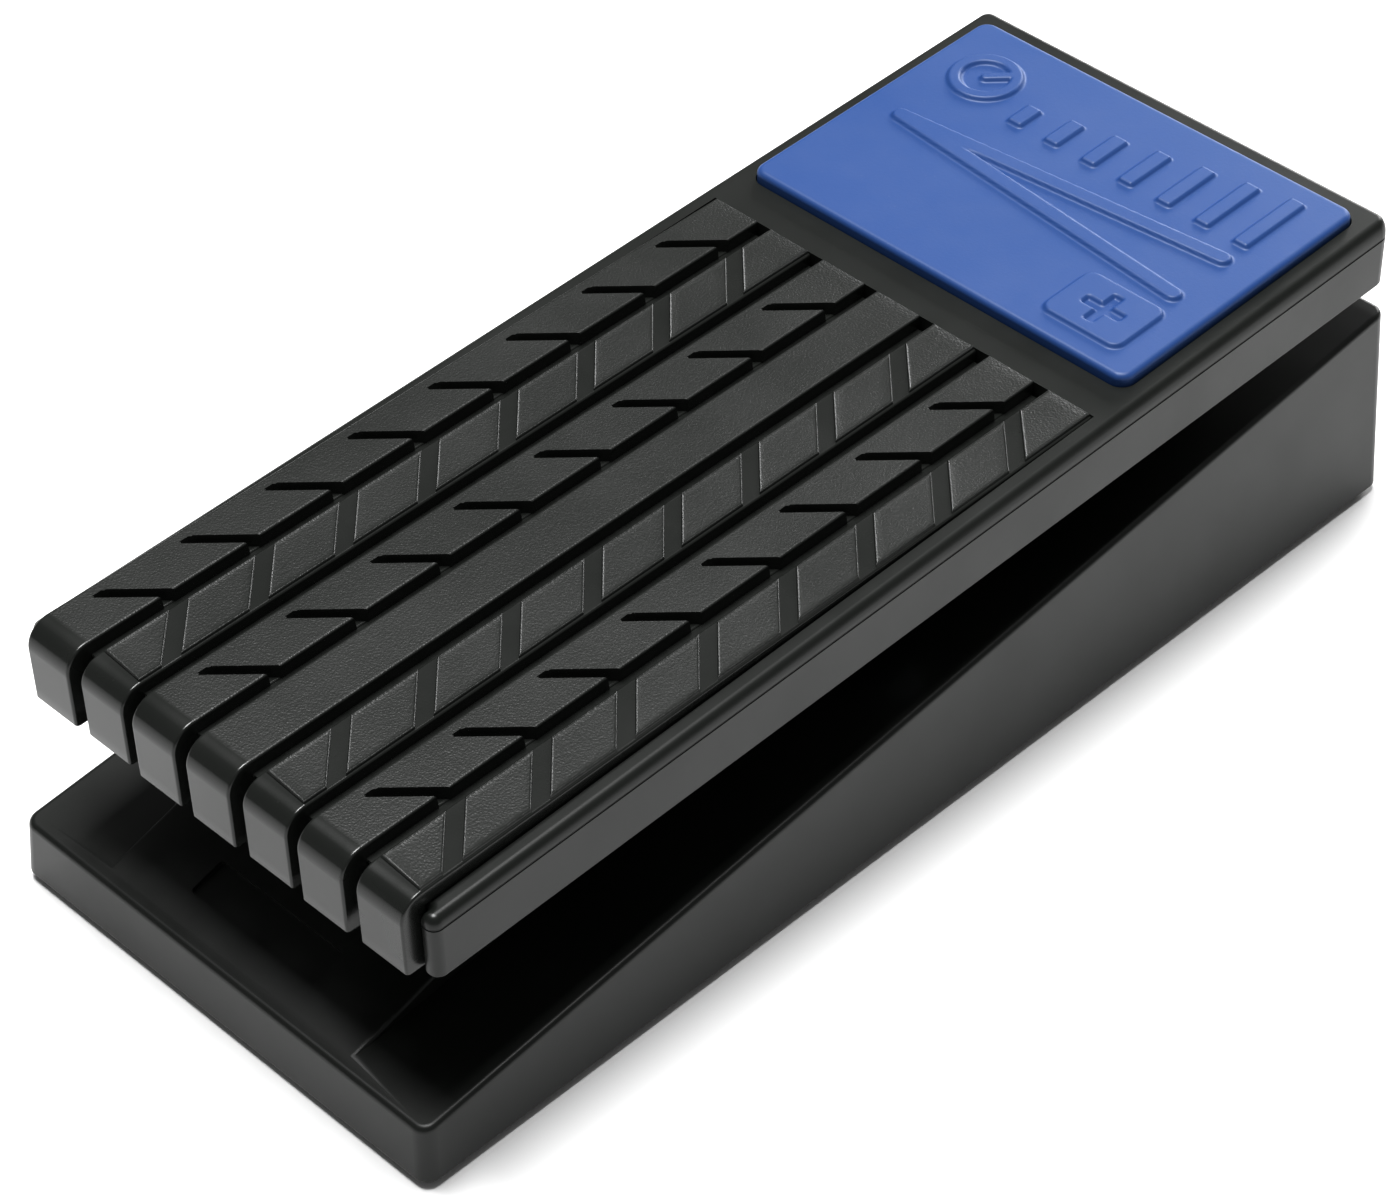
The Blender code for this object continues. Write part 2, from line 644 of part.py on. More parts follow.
def panel_hole(x, radius):
    """A rod through the jack panel."""
    outside = (x, PANEL_Y + OVERLAP, CONNECTOR_HEIGHT)
    inside = (x, CAVITY_TOE_Y - OVERLAP, CONNECTOR_HEIGHT)
    return rod(radius, outside, inside)


def ramp_matrix(distance):
    """A frame on the ramp's surface, the given distance along the base from the ramp's foot."""
    place = (0, RAMP_START_Y + distance, deck_height(RAMP_START_Y) + distance * math.tan(RAMP_ANGLE))
    return Matrix.Translation(place) @ Matrix.Rotation(RAMP_ANGLE, 4, "X")


def label_block():
    """The block that sinks the blank label recess into the ramp."""
    half_x, half_y = LABEL_WIDTH / 2, LABEL_LENGTH / 2
    return boxes(((-half_x, -half_y, -LABEL_DEPTH), (half_x, half_y, OVERLAP)))


def bottom_plate():
    """The steel plate that closes the case from below."""
    side = BASE_WIDTH / 2 - WALL - WALL_DRAFT * PLATE_TOP - GAP
    shape = rounded_box(
        (-side, -HALF_LENGTH + WALL + GAP, PLATE_RECESS), (side, CAVITY_TOE_Y - GAP, PLATE_TOP),
        CORNER_RADIUS, 0, steps=2)
    plate = part("bottom_plate", mesh_of(shape), PEDAL, "steel")
    for x, y in boss_places():
        hole = rod(PLATE_SCREW_RADIUS + SCREW_CLEARANCE, (x, y, 0), (x, y, PLATE_TOP + OVERLAP), 12)
        cut(plate, hole)
    for x, y in bracket_screw_places():
        hole = rod(RACK_SCREW_RADIUS + SCREW_CLEARANCE, (x, y, 0), (x, y, PLATE_TOP + OVERLAP), 12)
        cut(plate, hole)


def feet_and_plate_screws():
    """Four rubber feet and the six screws that hold the bottom plate."""
    x = BASE_WIDTH / 2 - FOOT_INSET_X
    heel, toe = -HALF_LENGTH + FOOT_INSET_HEEL, HALF_LENGTH - FOOT_INSET_TOE
    profile = [(0, 0), (FOOT_RADIUS, 0), (FOOT_RADIUS, -FOOT_THICKNESS / 2),
               (FOOT_RADIUS - FOOT_THICKNESS / 2, -FOOT_THICKNESS), (0, -FOOT_THICKNESS)]
    for end, y in (("heel", heel), ("toe", toe)):
        for side, sign in (("left", -1), ("right", 1)):
            turned(f"foot_{end}_{side}", profile, PEDAL, "rubber", (sign * x, y, 0))
    head = pan_screw_profile(PLATE_SCREW_HEAD, PLATE_SCREW_RADIUS, PLATE_SCREW_LENGTH)
    for number, (x, y) in enumerate(boss_places(), 1):
        turned(f"plate_screw_{number}", head, PEDAL, "steel", (x, y, 0), steps=12)


def treadle_shell():
    """The rocking shell: flat top with side rails, skirts, badge pocket, axle lugs and rack ribs."""
    half = TREADLE_WIDTH / 2
    shape = rounded_box(
        (-half, -TREADLE_HEEL_REACH, SKIRT_BOTTOM), (half, TREADLE_TOE_REACH, SHELL_TOP),
        TREADLE_CORNER_RADIUS, TREADLE_EDGE_RADIUS)
    raise_deck(shape)
    shell = part("treadle_shell", mesh_of(shape), TREADLE, "black_plastic")
    inner = half - TREADLE_WALL
    heel_wall = -TREADLE_HEEL_REACH + TREADLE_WALL
    hollow = ((-inner, heel_wall + TREADLE_WALL, SKIRT_BOTTOM - OVERLAP),
              (inner, TREADLE_TOE_REACH - TREADLE_WALL, SHELL_UNDERSIDE))
    notch_half = MAT_WIDTH / 2 + GAP
    notch = ((-notch_half, -TREADLE_HEEL_REACH - OVERLAP, SKIRT_BOTTOM - OVERLAP),
             (notch_half, heel_wall, SHELL_TOP + OVERLAP))
    cut(shell, boxes(hollow))
    cut(shell, boxes(notch))
    deck_top = SHELL_TOP + DECK_TOE_RISE + OVERLAP
    mat_bed = ((-notch_half, -TREADLE_HEEL_REACH - OVERLAP, SHELL_TOP),
               (notch_half, MAT_TOE_REACH + GAP, deck_top))
    cut(shell, boxes(mat_bed))
    cut(shell, badge_block(GAP, SHELL_TOP - BADGE_POCKET_DEPTH, deck_top))
    for side in (-1, 1):
        lug = outline_mesh([lug_outline()], LUG_THICKNESS)
        join(shell, lug, side_on(side * (LUG_X + LUG_THICKNESS / 2)))
    for side in (-1, 1):
        middle = side * (SECTOR_THICKNESS / 2 + GAP + RACK_RIB_THICKNESS / 2)
        heel, toe = rack_arm_span()
        rib = ((middle - RACK_RIB_THICKNESS / 2, heel, SHELL_UNDERSIDE - RACK_RIB_DROP),
               (middle + RACK_RIB_THICKNESS / 2, toe, SHELL_UNDERSIDE + OVERLAP))
        join(shell, boxes(rib))
    axle_hole = AXLE_RADIUS + AXLE_CLEARANCE
    cut(shell, rod(axle_hole, (-AXLE_HALF, 0, 0), (AXLE_HALF, 0, 0)))
    for y, z in rack_screw_places():
        reach = SECTOR_THICKNESS / 2 + RACK_RIB_THICKNESS + 2 * OVERLAP
        cut(shell, rod(RACK_SCREW_RADIUS + SCREW_CLEARANCE, (-reach, y, z), (reach, y, z), 12))


def raise_deck(shape):
    """Slopes the shell's top: it rises from the heel to the toe, and its rounded edge stretches with it."""
    start = SHELL_TOP - TREADLE_EDGE_RADIUS
    for point in shape.verts:
        share = min(max((point.co.z - start) / TREADLE_EDGE_RADIUS, 0), 1)
        along = (point.co.y + TREADLE_HEEL_REACH) / (TREADLE_TOE_REACH + TREADLE_HEEL_REACH)
        point.co.z += share * (RAIL_HEEL_RISE + along * (DECK_TOE_RISE - RAIL_HEEL_RISE))


def badge_block(room, low, high):
    """The badge's plan as a block between two heights, with room round it."""
    half = BADGE_WIDTH / 2 + room
    toe = TREADLE_TOE_REACH - BADGE_TOE_SETBACK
    return mesh_of(rounded_box((-half, toe - BADGE_LENGTH - room, low), (half, toe + room, high),
                               BADGE_CORNER_RADIUS, 0, steps=2))


def lug_outline():
    """(Y, Z) outline of one axle lug: wide under the treadle's top, round below the axle."""
    top = SHELL_UNDERSIDE + OVERLAP
    low = arc((0, 0), LUG_RADIUS, math.pi + LUG_SHOULDER, 2 * math.pi - LUG_SHOULDER, 8)
    return [(LUG_ROOT / 2, top), (-LUG_ROOT / 2, top)] + low


def rack_arm_span():
    """Heel and toe places of the sector's arm."""
    toe = SECTOR_RADIUS - DEDENDUM * GEAR_MODULE
    return toe - SECTOR_ARM_WIDTH, toe


def rack_screw_places():
    """(Y, Z) of the two screws that hold the sector between its ribs."""
    middle = sum(rack_arm_span()) / 2
    height = SHELL_UNDERSIDE - RACK_RIB_DROP / 2
    return [(middle + side * RACK_SCREW_SPACING / 2, height) for side in (-1, 1)]


def tread_mat():
    """The ribbed mat: seven strips that wrap over the heel, with slanted cuts in three of them."""
    low, high = TREAD_RISE - MAT_THICKNESS, TREAD_RISE
    heel_inside = MAT_HEEL_Y + HEEL_LIP_THICKNESS
    bend = arc((MAT_HEEL_Y + HEEL_LIP_RADIUS, high - HEEL_LIP_RADIUS), HEEL_LIP_RADIUS,
               math.pi, math.pi / 2, 5)
    outline = [(MAT_TOE_REACH, high - MAT_TOE_DROP), (MAT_TOE_REACH, low), (heel_inside, low),
               (heel_inside, LIP_BOTTOM), (MAT_HEEL_Y, LIP_BOTTOM)] + bend
    mat = part("tread_mat", outline_mesh([outline], MAT_WIDTH), TREADLE, "tread_plastic", side_on(0))
    floor = high - GROOVE_DEPTH
    grooves = []
    for number in range(1, STRIP_COUNT):
        middle = strip_left(number) - GROOVE_WIDTH / 2
        left, right = middle - GROOVE_WIDTH / 2, middle + GROOVE_WIDTH / 2
        grooves.append(((left, heel_inside - GAP, floor), (right, MAT_TOE_REACH + OVERLAP, high + OVERLAP)))
        grooves.append(((left, MAT_HEEL_Y - OVERLAP, LIP_BOTTOM - OVERLAP),
                        (right, heel_inside + GAP, high + 2 * OVERLAP)))
    cut(mat, boxes(*grooves[0::2]))
    cut(mat, boxes(*grooves[1::2]))
    cut(mat, slanted_cuts(high))


def strip_left(number):
    """X of the left edge of a strip, counted from 0 at the left."""
    return -MAT_WIDTH / 2 + number * STRIP_PITCH


def slanted_cuts(high):
    """The short cuts that run from inside a strip into the groove on its right, slanting to the toe."""
    shape = bmesh.new()
    strip = STRIP_PITCH - GROOVE_WIDTH
    reach = (strip - CUT_BLIND_END + GROOVE_WIDTH / 2) * math.sqrt(2)
    for number in CUT_STRIPS:
        for row in range(CUT_COUNT):
            x = strip_left(number) + strip + GROOVE_WIDTH / 2
            y = MAT_TOE_REACH - CUT_TOE_SETBACK - row * CUT_PITCH
            slant = Matrix.Translation((x, y, 0)) @ Matrix.Rotation(math.radians(45), 4, "Z")
            low, top = (-reach, -CUT_WIDTH / 2, high - CUT_DEPTH), (0, CUT_WIDTH / 2, high + OVERLAP)
            bmesh.ops.create_cube(shape, size=1.0, matrix=slant @ box_matrix(low, top))
    return mesh_of(shape)


def badge_plate():
    """The blue plate with its raised level bars, which grow longer to the right."""
    half = BADGE_WIDTH / 2
    toe = TREADLE_TOE_REACH - BADGE_TOE_SETBACK
    heel = toe - BADGE_LENGTH
    low = SHELL_TOP - BADGE_POCKET_DEPTH + GAP
    high = low + BADGE_THICKNESS
    shape = rounded_box((-half, heel, low), (half, toe, high), BADGE_CORNER_RADIUS, BADGE_EDGE_RADIUS)
    badge = part("badge_plate", mesh_of(shape), TREADLE, "blue_plastic")
    left, right = -half + MARK_MARGIN, half - MARK_MARGIN
    top = toe - MARK_MARGIN
    bars = []
    pitch = (right - left - MARK_STROKE) / (LEVEL_BARS - 1)
    growth = (LEVEL_BAR_LONGEST - LEVEL_BAR_SHORTEST) / (LEVEL_BARS - 1)
    for number in range(LEVEL_BARS):
        x = left + number * pitch
        length = LEVEL_BAR_SHORTEST + growth * number
        bars.append(((x, top - LEVEL_BAR_LONGEST, high - OVERLAP),
                     (x + MARK_STROKE, top - LEVEL_BAR_LONGEST + length, high + MARK_HEIGHT)))
    join(badge, boxes(*bars))


def bumper_bottom(y, tilt, surface_y, surface_z, surface_slope):
    """Height, in the treadle's frame, that a bumper reaches to stop just above a surface at full travel."""
    slope = math.tan(surface_slope)
    target = surface_z + (y * math.cos(tilt) - surface_y) * slope + BUMPER_GAP - PIVOT_HEIGHT
    return (target - y * math.sin(tilt)) / (math.cos(tilt) + math.sin(tilt) * slope)


def bumpers():
    """Rubber bumpers under the treadle: the heel one lands on the ramp, the toe one on the housing."""
    heel = bumper_bottom(HEEL_BUMPER_Y, TREADLE_PITCH + TREADLE_HEEL_DOWN, RAMP_START_Y,
                         deck_height(RAMP_START_Y), RAMP_ANGLE)
    toe = bumper_bottom(TOE_BUMPER_Y, TREADLE_PITCH - TREADLE_TOE_DOWN, 0, HOUSING_TOP, 0)
    top = SHELL_UNDERSIDE - GAP
    for name, y, low in (("heel_bumper", HEEL_BUMPER_Y, heel), ("toe_bumper", TOE_BUMPER_Y, toe)):
        profile = [(0, top), (BUMPER_RADIUS, top), (BUMPER_RADIUS * 0.85, low + OVERLAP),
                   (BUMPER_RADIUS * 0.6, low + BUMPER_GAP), (0, low + BUMPER_GAP)]
        turned(name, profile, TREADLE, "rubber", (0, y, 0))


def pivot_axle():
    """The steel axle, fixed in the treadle's lugs, with a groove near each end for its clip."""
    low, high = CLIP_X - GAP / 2, CLIP_X + CLIP_THICKNESS + GAP / 2
    waist = AXLE_RADIUS - CLIP_GROOVE_DEPTH
    upper = [(0, AXLE_HALF), (AXLE_RADIUS, AXLE_HALF), (AXLE_RADIUS, high), (waist, high), (waist, low),
             (AXLE_RADIUS, low)]
    lower = [(r, -z) for r, z in reversed(upper)]
    turned("pivot_axle", upper + lower, TREADLE, "steel", axis="X")


def axle_hardware():
    """Bushes in the housing's walls, thrust washers, and clips in the axle's grooves."""
    bore = AXLE_RADIUS + AXLE_CLEARANCE
    inside = HOUSING_SIDE - WALL - OVERLAP
    bush = [(BUSH_FLANGE_RADIUS, FLANGE_X + BUSH_FLANGE_THICKNESS), (BUSH_FLANGE_RADIUS, FLANGE_X),
            (BUSH_RADIUS, FLANGE_X), (BUSH_RADIUS, inside), (bore, inside),
            (bore, FLANGE_X + BUSH_FLANGE_THICKNESS)]
    washer = ring_profile(BUSH_FLANGE_RADIUS, bore, THRUST_X, THRUST_X + THRUST_WASHER_THICKNESS)
    waist = AXLE_RADIUS - CLIP_GROOVE_DEPTH + AXLE_CLEARANCE
    start, end = CLIP_GAP_ANGLE / 2, 2 * math.pi - CLIP_GAP_ANGLE / 2
    clip = arc((0, 0), CLIP_RADIUS, start, end, 20) + arc((0, 0), waist, end, start, 20)
    for side, axis, sign in (("left", "-X", -1), ("right", "X", 1)):
        turned(f"axle_bush_{side}", bush, PEDAL, "brass", (0, 0, PIVOT_HEIGHT), axis, closed=True)
        turned(f"thrust_washer_{side}", washer, TREADLE, "white_plastic", axis=axis, closed=True)
        part(f"axle_clip_{side}", outline_mesh([clip], CLIP_THICKNESS), TREADLE, "steel",
             side_on(sign * (CLIP_X + CLIP_THICKNESS / 2)))


def sector_rack():
    """The toothed sector under the treadle, its teeth centred on the axle, and its two screws."""
    step = 2 * math.pi / SECTOR_FULL_TEETH
    mesh_angle = PINION_DIRECTION - TREADLE_PITCH
    points = []
    for number in range(-SECTOR_TEETH_BELOW, SECTOR_TEETH_ABOVE + 1):
        points += tooth(SECTOR_FULL_TEETH, mesh_angle + number * step)
    root = SECTOR_RADIUS - DEDENDUM * GEAR_MODULE
    first = mesh_angle - (SECTOR_TEETH_BELOW + 0.5) * step
    last = mesh_angle + (SECTOR_TEETH_ABOVE + 0.5) * step
    heel, toe = rack_arm_span()
    top = SHELL_UNDERSIDE - GAP
    inner = arc((0, 0), root - SECTOR_BAND, last, first, 8)
    start = arc((0, 0), root, first, first, 1)[:1]
    outline = start + points + [(toe, root * math.sin(last)), (toe, top), (heel, top)] + inner
    holes = [circle(place, RACK_SCREW_RADIUS + SCREW_CLEARANCE, 12) for place in rack_screw_places()]
    mesh = outline_mesh([outline] + holes, SECTOR_THICKNESS)
    part("sector_rack", mesh, TREADLE, "white_plastic", side_on(0))
    outside = SECTOR_THICKNESS / 2 + GAP + RACK_RIB_THICKNESS + GAP
    profile = pan_screw_profile(RACK_SCREW_HEAD, RACK_SCREW_RADIUS, 2 * outside - GAP)
    for number, (y, z) in enumerate(rack_screw_places(), 1):
        turned(f"rack_screw_{number}", profile, TREADLE, "steel", (outside, y, z), "-X", steps=12)


def pinion_and_pot():
    """The pinion on the potentiometer's shaft, with the potentiometer, its nut, bracket and screws."""
    step = 2 * math.pi / PINION_TEETH
    towards_axle = PINION_DIRECTION + math.pi
    points = []
    for number in range(PINION_TEETH):
        points += tooth(PINION_TEETH, towards_axle + (number + 0.5) * step)
    bore = circle((0, 0), POT_SHAFT_RADIUS + GAP, 16)
    part("pinion_gear", outline_mesh([points, bore], PINION_FACE), PINION, "white_plastic", side_on(0))
    face = -PINION_FACE / 2 - GAP
    nut_face = face - GAP
    bracket_face = nut_face - POT_NUT_THICKNESS - GAP
    body_face = bracket_face - BRACKET_THICKNESS - GAP
    shaft = [(0, PINION_FACE / 2 + OVERLAP), (POT_SHAFT_RADIUS, PINION_FACE / 2 + OVERLAP),
             (POT_SHAFT_RADIUS, body_face - OVERLAP), (0, body_face - OVERLAP)]
    turned("pot_shaft", shaft, PINION, "steel", axis="X", steps=16)
    bore_radius = POT_SHAFT_RADIUS + GAP
    socket = body_face - OVERLAP - GAP
    pot = [(0, socket), (bore_radius, socket), (bore_radius, face), (POT_THREAD_RADIUS, face),
           (POT_THREAD_RADIUS, body_face), (POT_RADIUS, body_face), (POT_RADIUS, body_face - POT_DEPTH),
           (0, body_face - POT_DEPTH)]
    pot_axis = (0, PINION_Y, PINION_Z)
    turned("volume_pot", pot, PEDAL, "steel", pot_axis, "X")
    rim = hexagon(POT_THREAD_RADIUS + POT_NUT_RIM)
    nut = outline_mesh([rim, circle((0, 0), POT_THREAD_RADIUS + GAP, 16)], POT_NUT_THICKNESS)
    place = Matrix.Translation((0, PINION_Y, PINION_Z)) @ side_on(nut_face - POT_NUT_THICKNESS / 2)
    part("volume_pot_nut", nut, PEDAL, "nickel", place)
    pot_bracket(bracket_face)
    leads(body_face - POT_DEPTH / 2)


def pot_bracket(face):
    """The folded steel bracket: an upright behind the pinion and a foot on the bottom plate."""
    low = PLATE_TOP + GAP
    upright = ((face - BRACKET_THICKNESS, PINION_Y - BRACKET_WIDTH / 2, low),
               (face, PINION_Y + BRACKET_WIDTH / 2, PINION_Z + POT_RADIUS - OVERLAP))
    foot = ((face - BRACKET_FOOT, PINION_Y - BRACKET_WIDTH / 2, low),
            (face - BRACKET_THICKNESS / 2, PINION_Y + BRACKET_WIDTH / 2, low + BRACKET_THICKNESS))
    bracket = part("pot_bracket", boxes(upright), PEDAL, "steel")
    join(bracket, boxes(foot))
    cut(bracket, rod(POT_THREAD_RADIUS + GAP, (face + OVERLAP, PINION_Y, PINION_Z),
                     (face - 2 * OVERLAP - BRACKET_THICKNESS, PINION_Y, PINION_Z)))
    length = low + BRACKET_THICKNESS - PLATE_RECESS + GAP
    profile = pan_screw_profile(RACK_SCREW_HEAD, RACK_SCREW_RADIUS, length)
    for number, (x, y) in enumerate(bracket_screw_places(), 1):
        cut(bracket, rod(RACK_SCREW_RADIUS + SCREW_CLEARANCE, (x, y, low - GAP),
                         (x, y, low + BRACKET_THICKNESS + GAP), 12))
        place = (x, y, low + BRACKET_THICKNESS + GAP)
        turned(f"bracket_screw_{number}", profile, PEDAL, "steel", place, "-Z", steps=12)


def bracket_screw_places():
    """(X, Y) of the two screws through the bracket's foot."""
    x = -PINION_FACE / 2 - 3 * GAP - POT_NUT_THICKNESS - BRACKET_FOOT + BRACKET_SCREW_INSET
    return [(x, PINION_Y + side * BRACKET_WIDTH / 4) for side in (-1, 1)]


def leads(x):
    """Three short leads from the potentiometer's underside to the jack board."""
    start_z = PINION_Z - POT_RADIUS - GAP - LEAD_RADIUS
    end_y = board_toe_y() - BOARD_THICKNESS - GAP
    for number in range(3):
        across = x + (number - 1) * LEAD_SPACING
        curve = bpy.data.curves.new("lead", "CURVE")
        curve.dimensions = "3D"
        curve.bevel_depth = LEAD_RADIUS
        curve.bevel_resolution = 1
        curve.use_fill_caps = True
        spline = curve.splines.new("POLY")
        route = lead_route(PINION_Y, start_z, end_y)
        spline.points.add(len(route) - 1)
        for point, (y, z) in zip(spline.points, route):
            point.co = (across, y, z, 1)
        lead = bpy.data.objects.new(f"pot_lead_{number + 1}", curve)
        lead.parent = PEDAL
        PARTS.objects.link(lead)
        dress(lead, ("lead_red", "white_plastic", "grey_plastic")[number])


def lead_route(start_y, start_z, end_y):
    """(Y, Z) points of a lead: a quarter of an ellipse down from the pot and along to the board."""
    drop = start_z - (CONNECTOR_HEIGHT - BOARD_HEIGHT / 4)
    steps = 8
    angles = [math.pi / 2 * i / steps for i in range(steps + 1)]
    return [(end_y - (end_y - start_y) * math.cos(a), start_z - drop * math.sin(a)) for a in angles]


def jacks():
    """Four quarter-inch jacks with their washers and nuts on the toe panel."""
    body_toe = CAVITY_TOE_Y - GAP
    for name, x in JACKS:
        half_wide, half_high = JACK_BODY_WIDTH / 2, JACK_BODY_HEIGHT / 2
        low = (x - half_wide, body_toe - JACK_BODY_LENGTH, CONNECTOR_HEIGHT - half_high)
        high = (x + half_wide, body_toe, CONNECTOR_HEIGHT + half_high)
        jack = part(name, boxes((low, high)), PEDAL, "black_plastic")
        sleeve = (x, SLEEVE_END_Y, CONNECTOR_HEIGHT)
        join(jack, rod(JACK_THREAD_RADIUS, (x, body_toe - OVERLAP, CONNECTOR_HEIGHT), sleeve))
        bore_end = (x, SLEEVE_END_Y - JACK_BORE_DEPTH, CONNECTOR_HEIGHT)
        cut(jack, rod(JACK_BORE_RADIUS, bore_end, (x, SLEEVE_END_Y + OVERLAP, CONNECTOR_HEIGHT)))
        bore = JACK_THREAD_RADIUS + GAP
        rim = JACK_THREAD_RADIUS + NUT_RIM
        washer = ring_profile(rim, bore, 0, WASHER_THICKNESS)
        turned(f"{name}_washer", washer, PEDAL, "nickel", (x, WASHER_Y, CONNECTOR_HEIGHT), "Y", closed=True)
        nut = outline_mesh([hexagon(rim), circle((0, 0), bore)], NUT_THICKNESS)
        place = Matrix.Translation((x, 0, CONNECTOR_HEIGHT)) @ face_on(NUT_Y + NUT_THICKNESS / 2)
        part(f"{name}_nut", nut, PEDAL, "nickel", place)


def trimmer():
    """The minimum-volume trimmer, its nut, its shaft and the fluted knob."""
    body_toe = CAVITY_TOE_Y - GAP
    half = TRIM_BODY_SIZE / 2
    body = ((-half, body_toe - TRIM_BODY_LENGTH, CONNECTOR_HEIGHT - half),
            (half, body_toe, CONNECTOR_HEIGHT + half))
    trim = part("trim_pot", boxes(body), PEDAL, "grey_plastic")
    thread_end = NUT_Y + NUT_THICKNESS + GAP
    join(trim, rod(TRIM_THREAD_RADIUS, (0, body_toe - OVERLAP, CONNECTOR_HEIGHT),
                   (0, thread_end, CONNECTOR_HEIGHT)))
    bore = TRIM_SHAFT_RADIUS + GAP
    inner = body_toe - TRIM_BODY_LENGTH / 2
    cut(trim, rod(bore, (0, inner - GAP, CONNECTOR_HEIGHT), (0, thread_end + OVERLAP, CONNECTOR_HEIGHT), 16))
    rim = hexagon(TRIM_THREAD_RADIUS + TRIM_NUT_RIM)
    nut = outline_mesh([rim, circle((0, 0), TRIM_THREAD_RADIUS + GAP)], NUT_THICKNESS)
    place = Matrix.Translation((0, 0, CONNECTOR_HEIGHT)) @ face_on(NUT_Y + NUT_THICKNESS / 2)
    part("trim_pot_nut", nut, PEDAL, "nickel", place)
    shaft_end = KNOB_TIP_Y - KNOB_FACE_THICKNESS
    shaft = [(0, shaft_end), (TRIM_SHAFT_RADIUS, shaft_end), (TRIM_SHAFT_RADIUS, inner), (0, inner)]
    turned("trim_shaft", shaft, KNOB, "steel", axis="Y", steps=16)
    outline = []
    for number in range(2 * KNOB_FLUTES):
        radius = KNOB_RADIUS if number % 2 else KNOB_RADIUS - KNOB_FLUTE_DEPTH
        outline.append(arc((0, 0), radius, math.pi * number / KNOB_FLUTES, 0, 1)[0])
    knob = part("trim_knob", outline_mesh([outline], KNOB_LENGTH), KNOB, "grey_plastic",
                face_on(KNOB_Y + KNOB_LENGTH / 2))
    cut(knob, rod(bore, (0, KNOB_Y - OVERLAP, 0), (0, shaft_end + GAP, 0), 16))
    pointer = ((-POINTER_WIDTH / 2, KNOB_TIP_Y - POINTER_DEPTH, 0),
               (POINTER_WIDTH / 2, KNOB_TIP_Y + OVERLAP, KNOB_RADIUS + OVERLAP))
    cut(knob, boxes(pointer))


def jack_board():
    """The circuit board behind the jacks and its two screws."""
    toe = board_toe_y()
    low = (-BOARD_WIDTH / 2, toe - BOARD_THICKNESS, CONNECTOR_HEIGHT - BOARD_HEIGHT / 2)
    high = (BOARD_WIDTH / 2, toe, CONNECTOR_HEIGHT + BOARD_HEIGHT / 2)
    board = part("jack_board", boxes((low, high)), PEDAL, "circuit_board")
    profile = pan_screw_profile(BOARD_SCREW_HEAD, BOARD_SCREW_RADIUS, BOARD_SCREW_LENGTH)
    for number, side in enumerate((-1, 1), 1):
        x, z = side * BOARD_RIB_X, board_screw_height()
        cut(board, rod(BOARD_SCREW_RADIUS + GAP, (x, low[1] - GAP, z), (x, high[1] + GAP, z), 12))
        turned(f"board_screw_{number}", profile, PEDAL, "steel", (x, toe + GAP, z), "-Y", steps=12)


base_case()
bottom_plate()
feet_and_plate_screws()
treadle_shell()
tread_mat()
badge_plate()
bumpers()
pivot_axle()
axle_hardware()
sector_rack()
pinion_and_pot()
jacks()
trimmer()
jack_board()
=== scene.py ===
"""The finished look of a rocking volume pedal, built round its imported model.

Lengths are in metres. The base frame has its origin under the middle of the case, +Y to the toe, +X to the
right and +Z up. The treadle frame has its origin on the axle and tilts with the treadle.
"""
import json
import logging
import math
from dataclasses import dataclass, field
from enum import Enum

import bmesh
import bpy
import numpy as np
from mathutils import Matrix, Vector

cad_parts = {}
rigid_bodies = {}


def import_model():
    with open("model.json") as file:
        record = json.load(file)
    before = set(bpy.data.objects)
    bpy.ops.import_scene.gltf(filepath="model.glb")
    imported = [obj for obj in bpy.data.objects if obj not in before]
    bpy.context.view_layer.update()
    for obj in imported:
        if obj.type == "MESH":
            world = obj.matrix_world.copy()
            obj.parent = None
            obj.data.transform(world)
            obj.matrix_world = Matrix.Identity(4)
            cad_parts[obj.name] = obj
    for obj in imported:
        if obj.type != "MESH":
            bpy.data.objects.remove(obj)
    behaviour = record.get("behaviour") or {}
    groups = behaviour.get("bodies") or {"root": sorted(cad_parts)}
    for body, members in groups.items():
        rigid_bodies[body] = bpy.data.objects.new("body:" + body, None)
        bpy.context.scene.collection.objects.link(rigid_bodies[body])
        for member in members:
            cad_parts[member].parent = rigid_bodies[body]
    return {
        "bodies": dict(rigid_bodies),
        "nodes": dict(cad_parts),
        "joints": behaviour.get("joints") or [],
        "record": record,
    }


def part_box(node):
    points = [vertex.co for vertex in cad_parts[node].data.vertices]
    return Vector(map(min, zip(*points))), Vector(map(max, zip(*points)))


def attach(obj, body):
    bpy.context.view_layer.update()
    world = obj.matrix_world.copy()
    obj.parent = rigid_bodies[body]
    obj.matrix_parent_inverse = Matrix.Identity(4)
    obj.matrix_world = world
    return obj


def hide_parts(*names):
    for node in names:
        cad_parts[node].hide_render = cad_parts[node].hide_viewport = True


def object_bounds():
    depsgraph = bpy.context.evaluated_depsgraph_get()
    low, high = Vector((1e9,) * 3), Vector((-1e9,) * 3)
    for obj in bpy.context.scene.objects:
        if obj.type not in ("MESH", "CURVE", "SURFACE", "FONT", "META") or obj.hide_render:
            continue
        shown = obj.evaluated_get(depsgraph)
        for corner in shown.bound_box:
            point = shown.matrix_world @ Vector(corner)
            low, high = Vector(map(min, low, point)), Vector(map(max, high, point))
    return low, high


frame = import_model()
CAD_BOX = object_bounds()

LOG = logging.getLogger("volume_pedal")
Array = np.ndarray
MM = 0.001
TINY = 0.02 * MM
WELD = 0.002 * MM
EASE = 0.15 * MM
SHARP = 32.0


# ---------------------------------------------------------------- surfaces


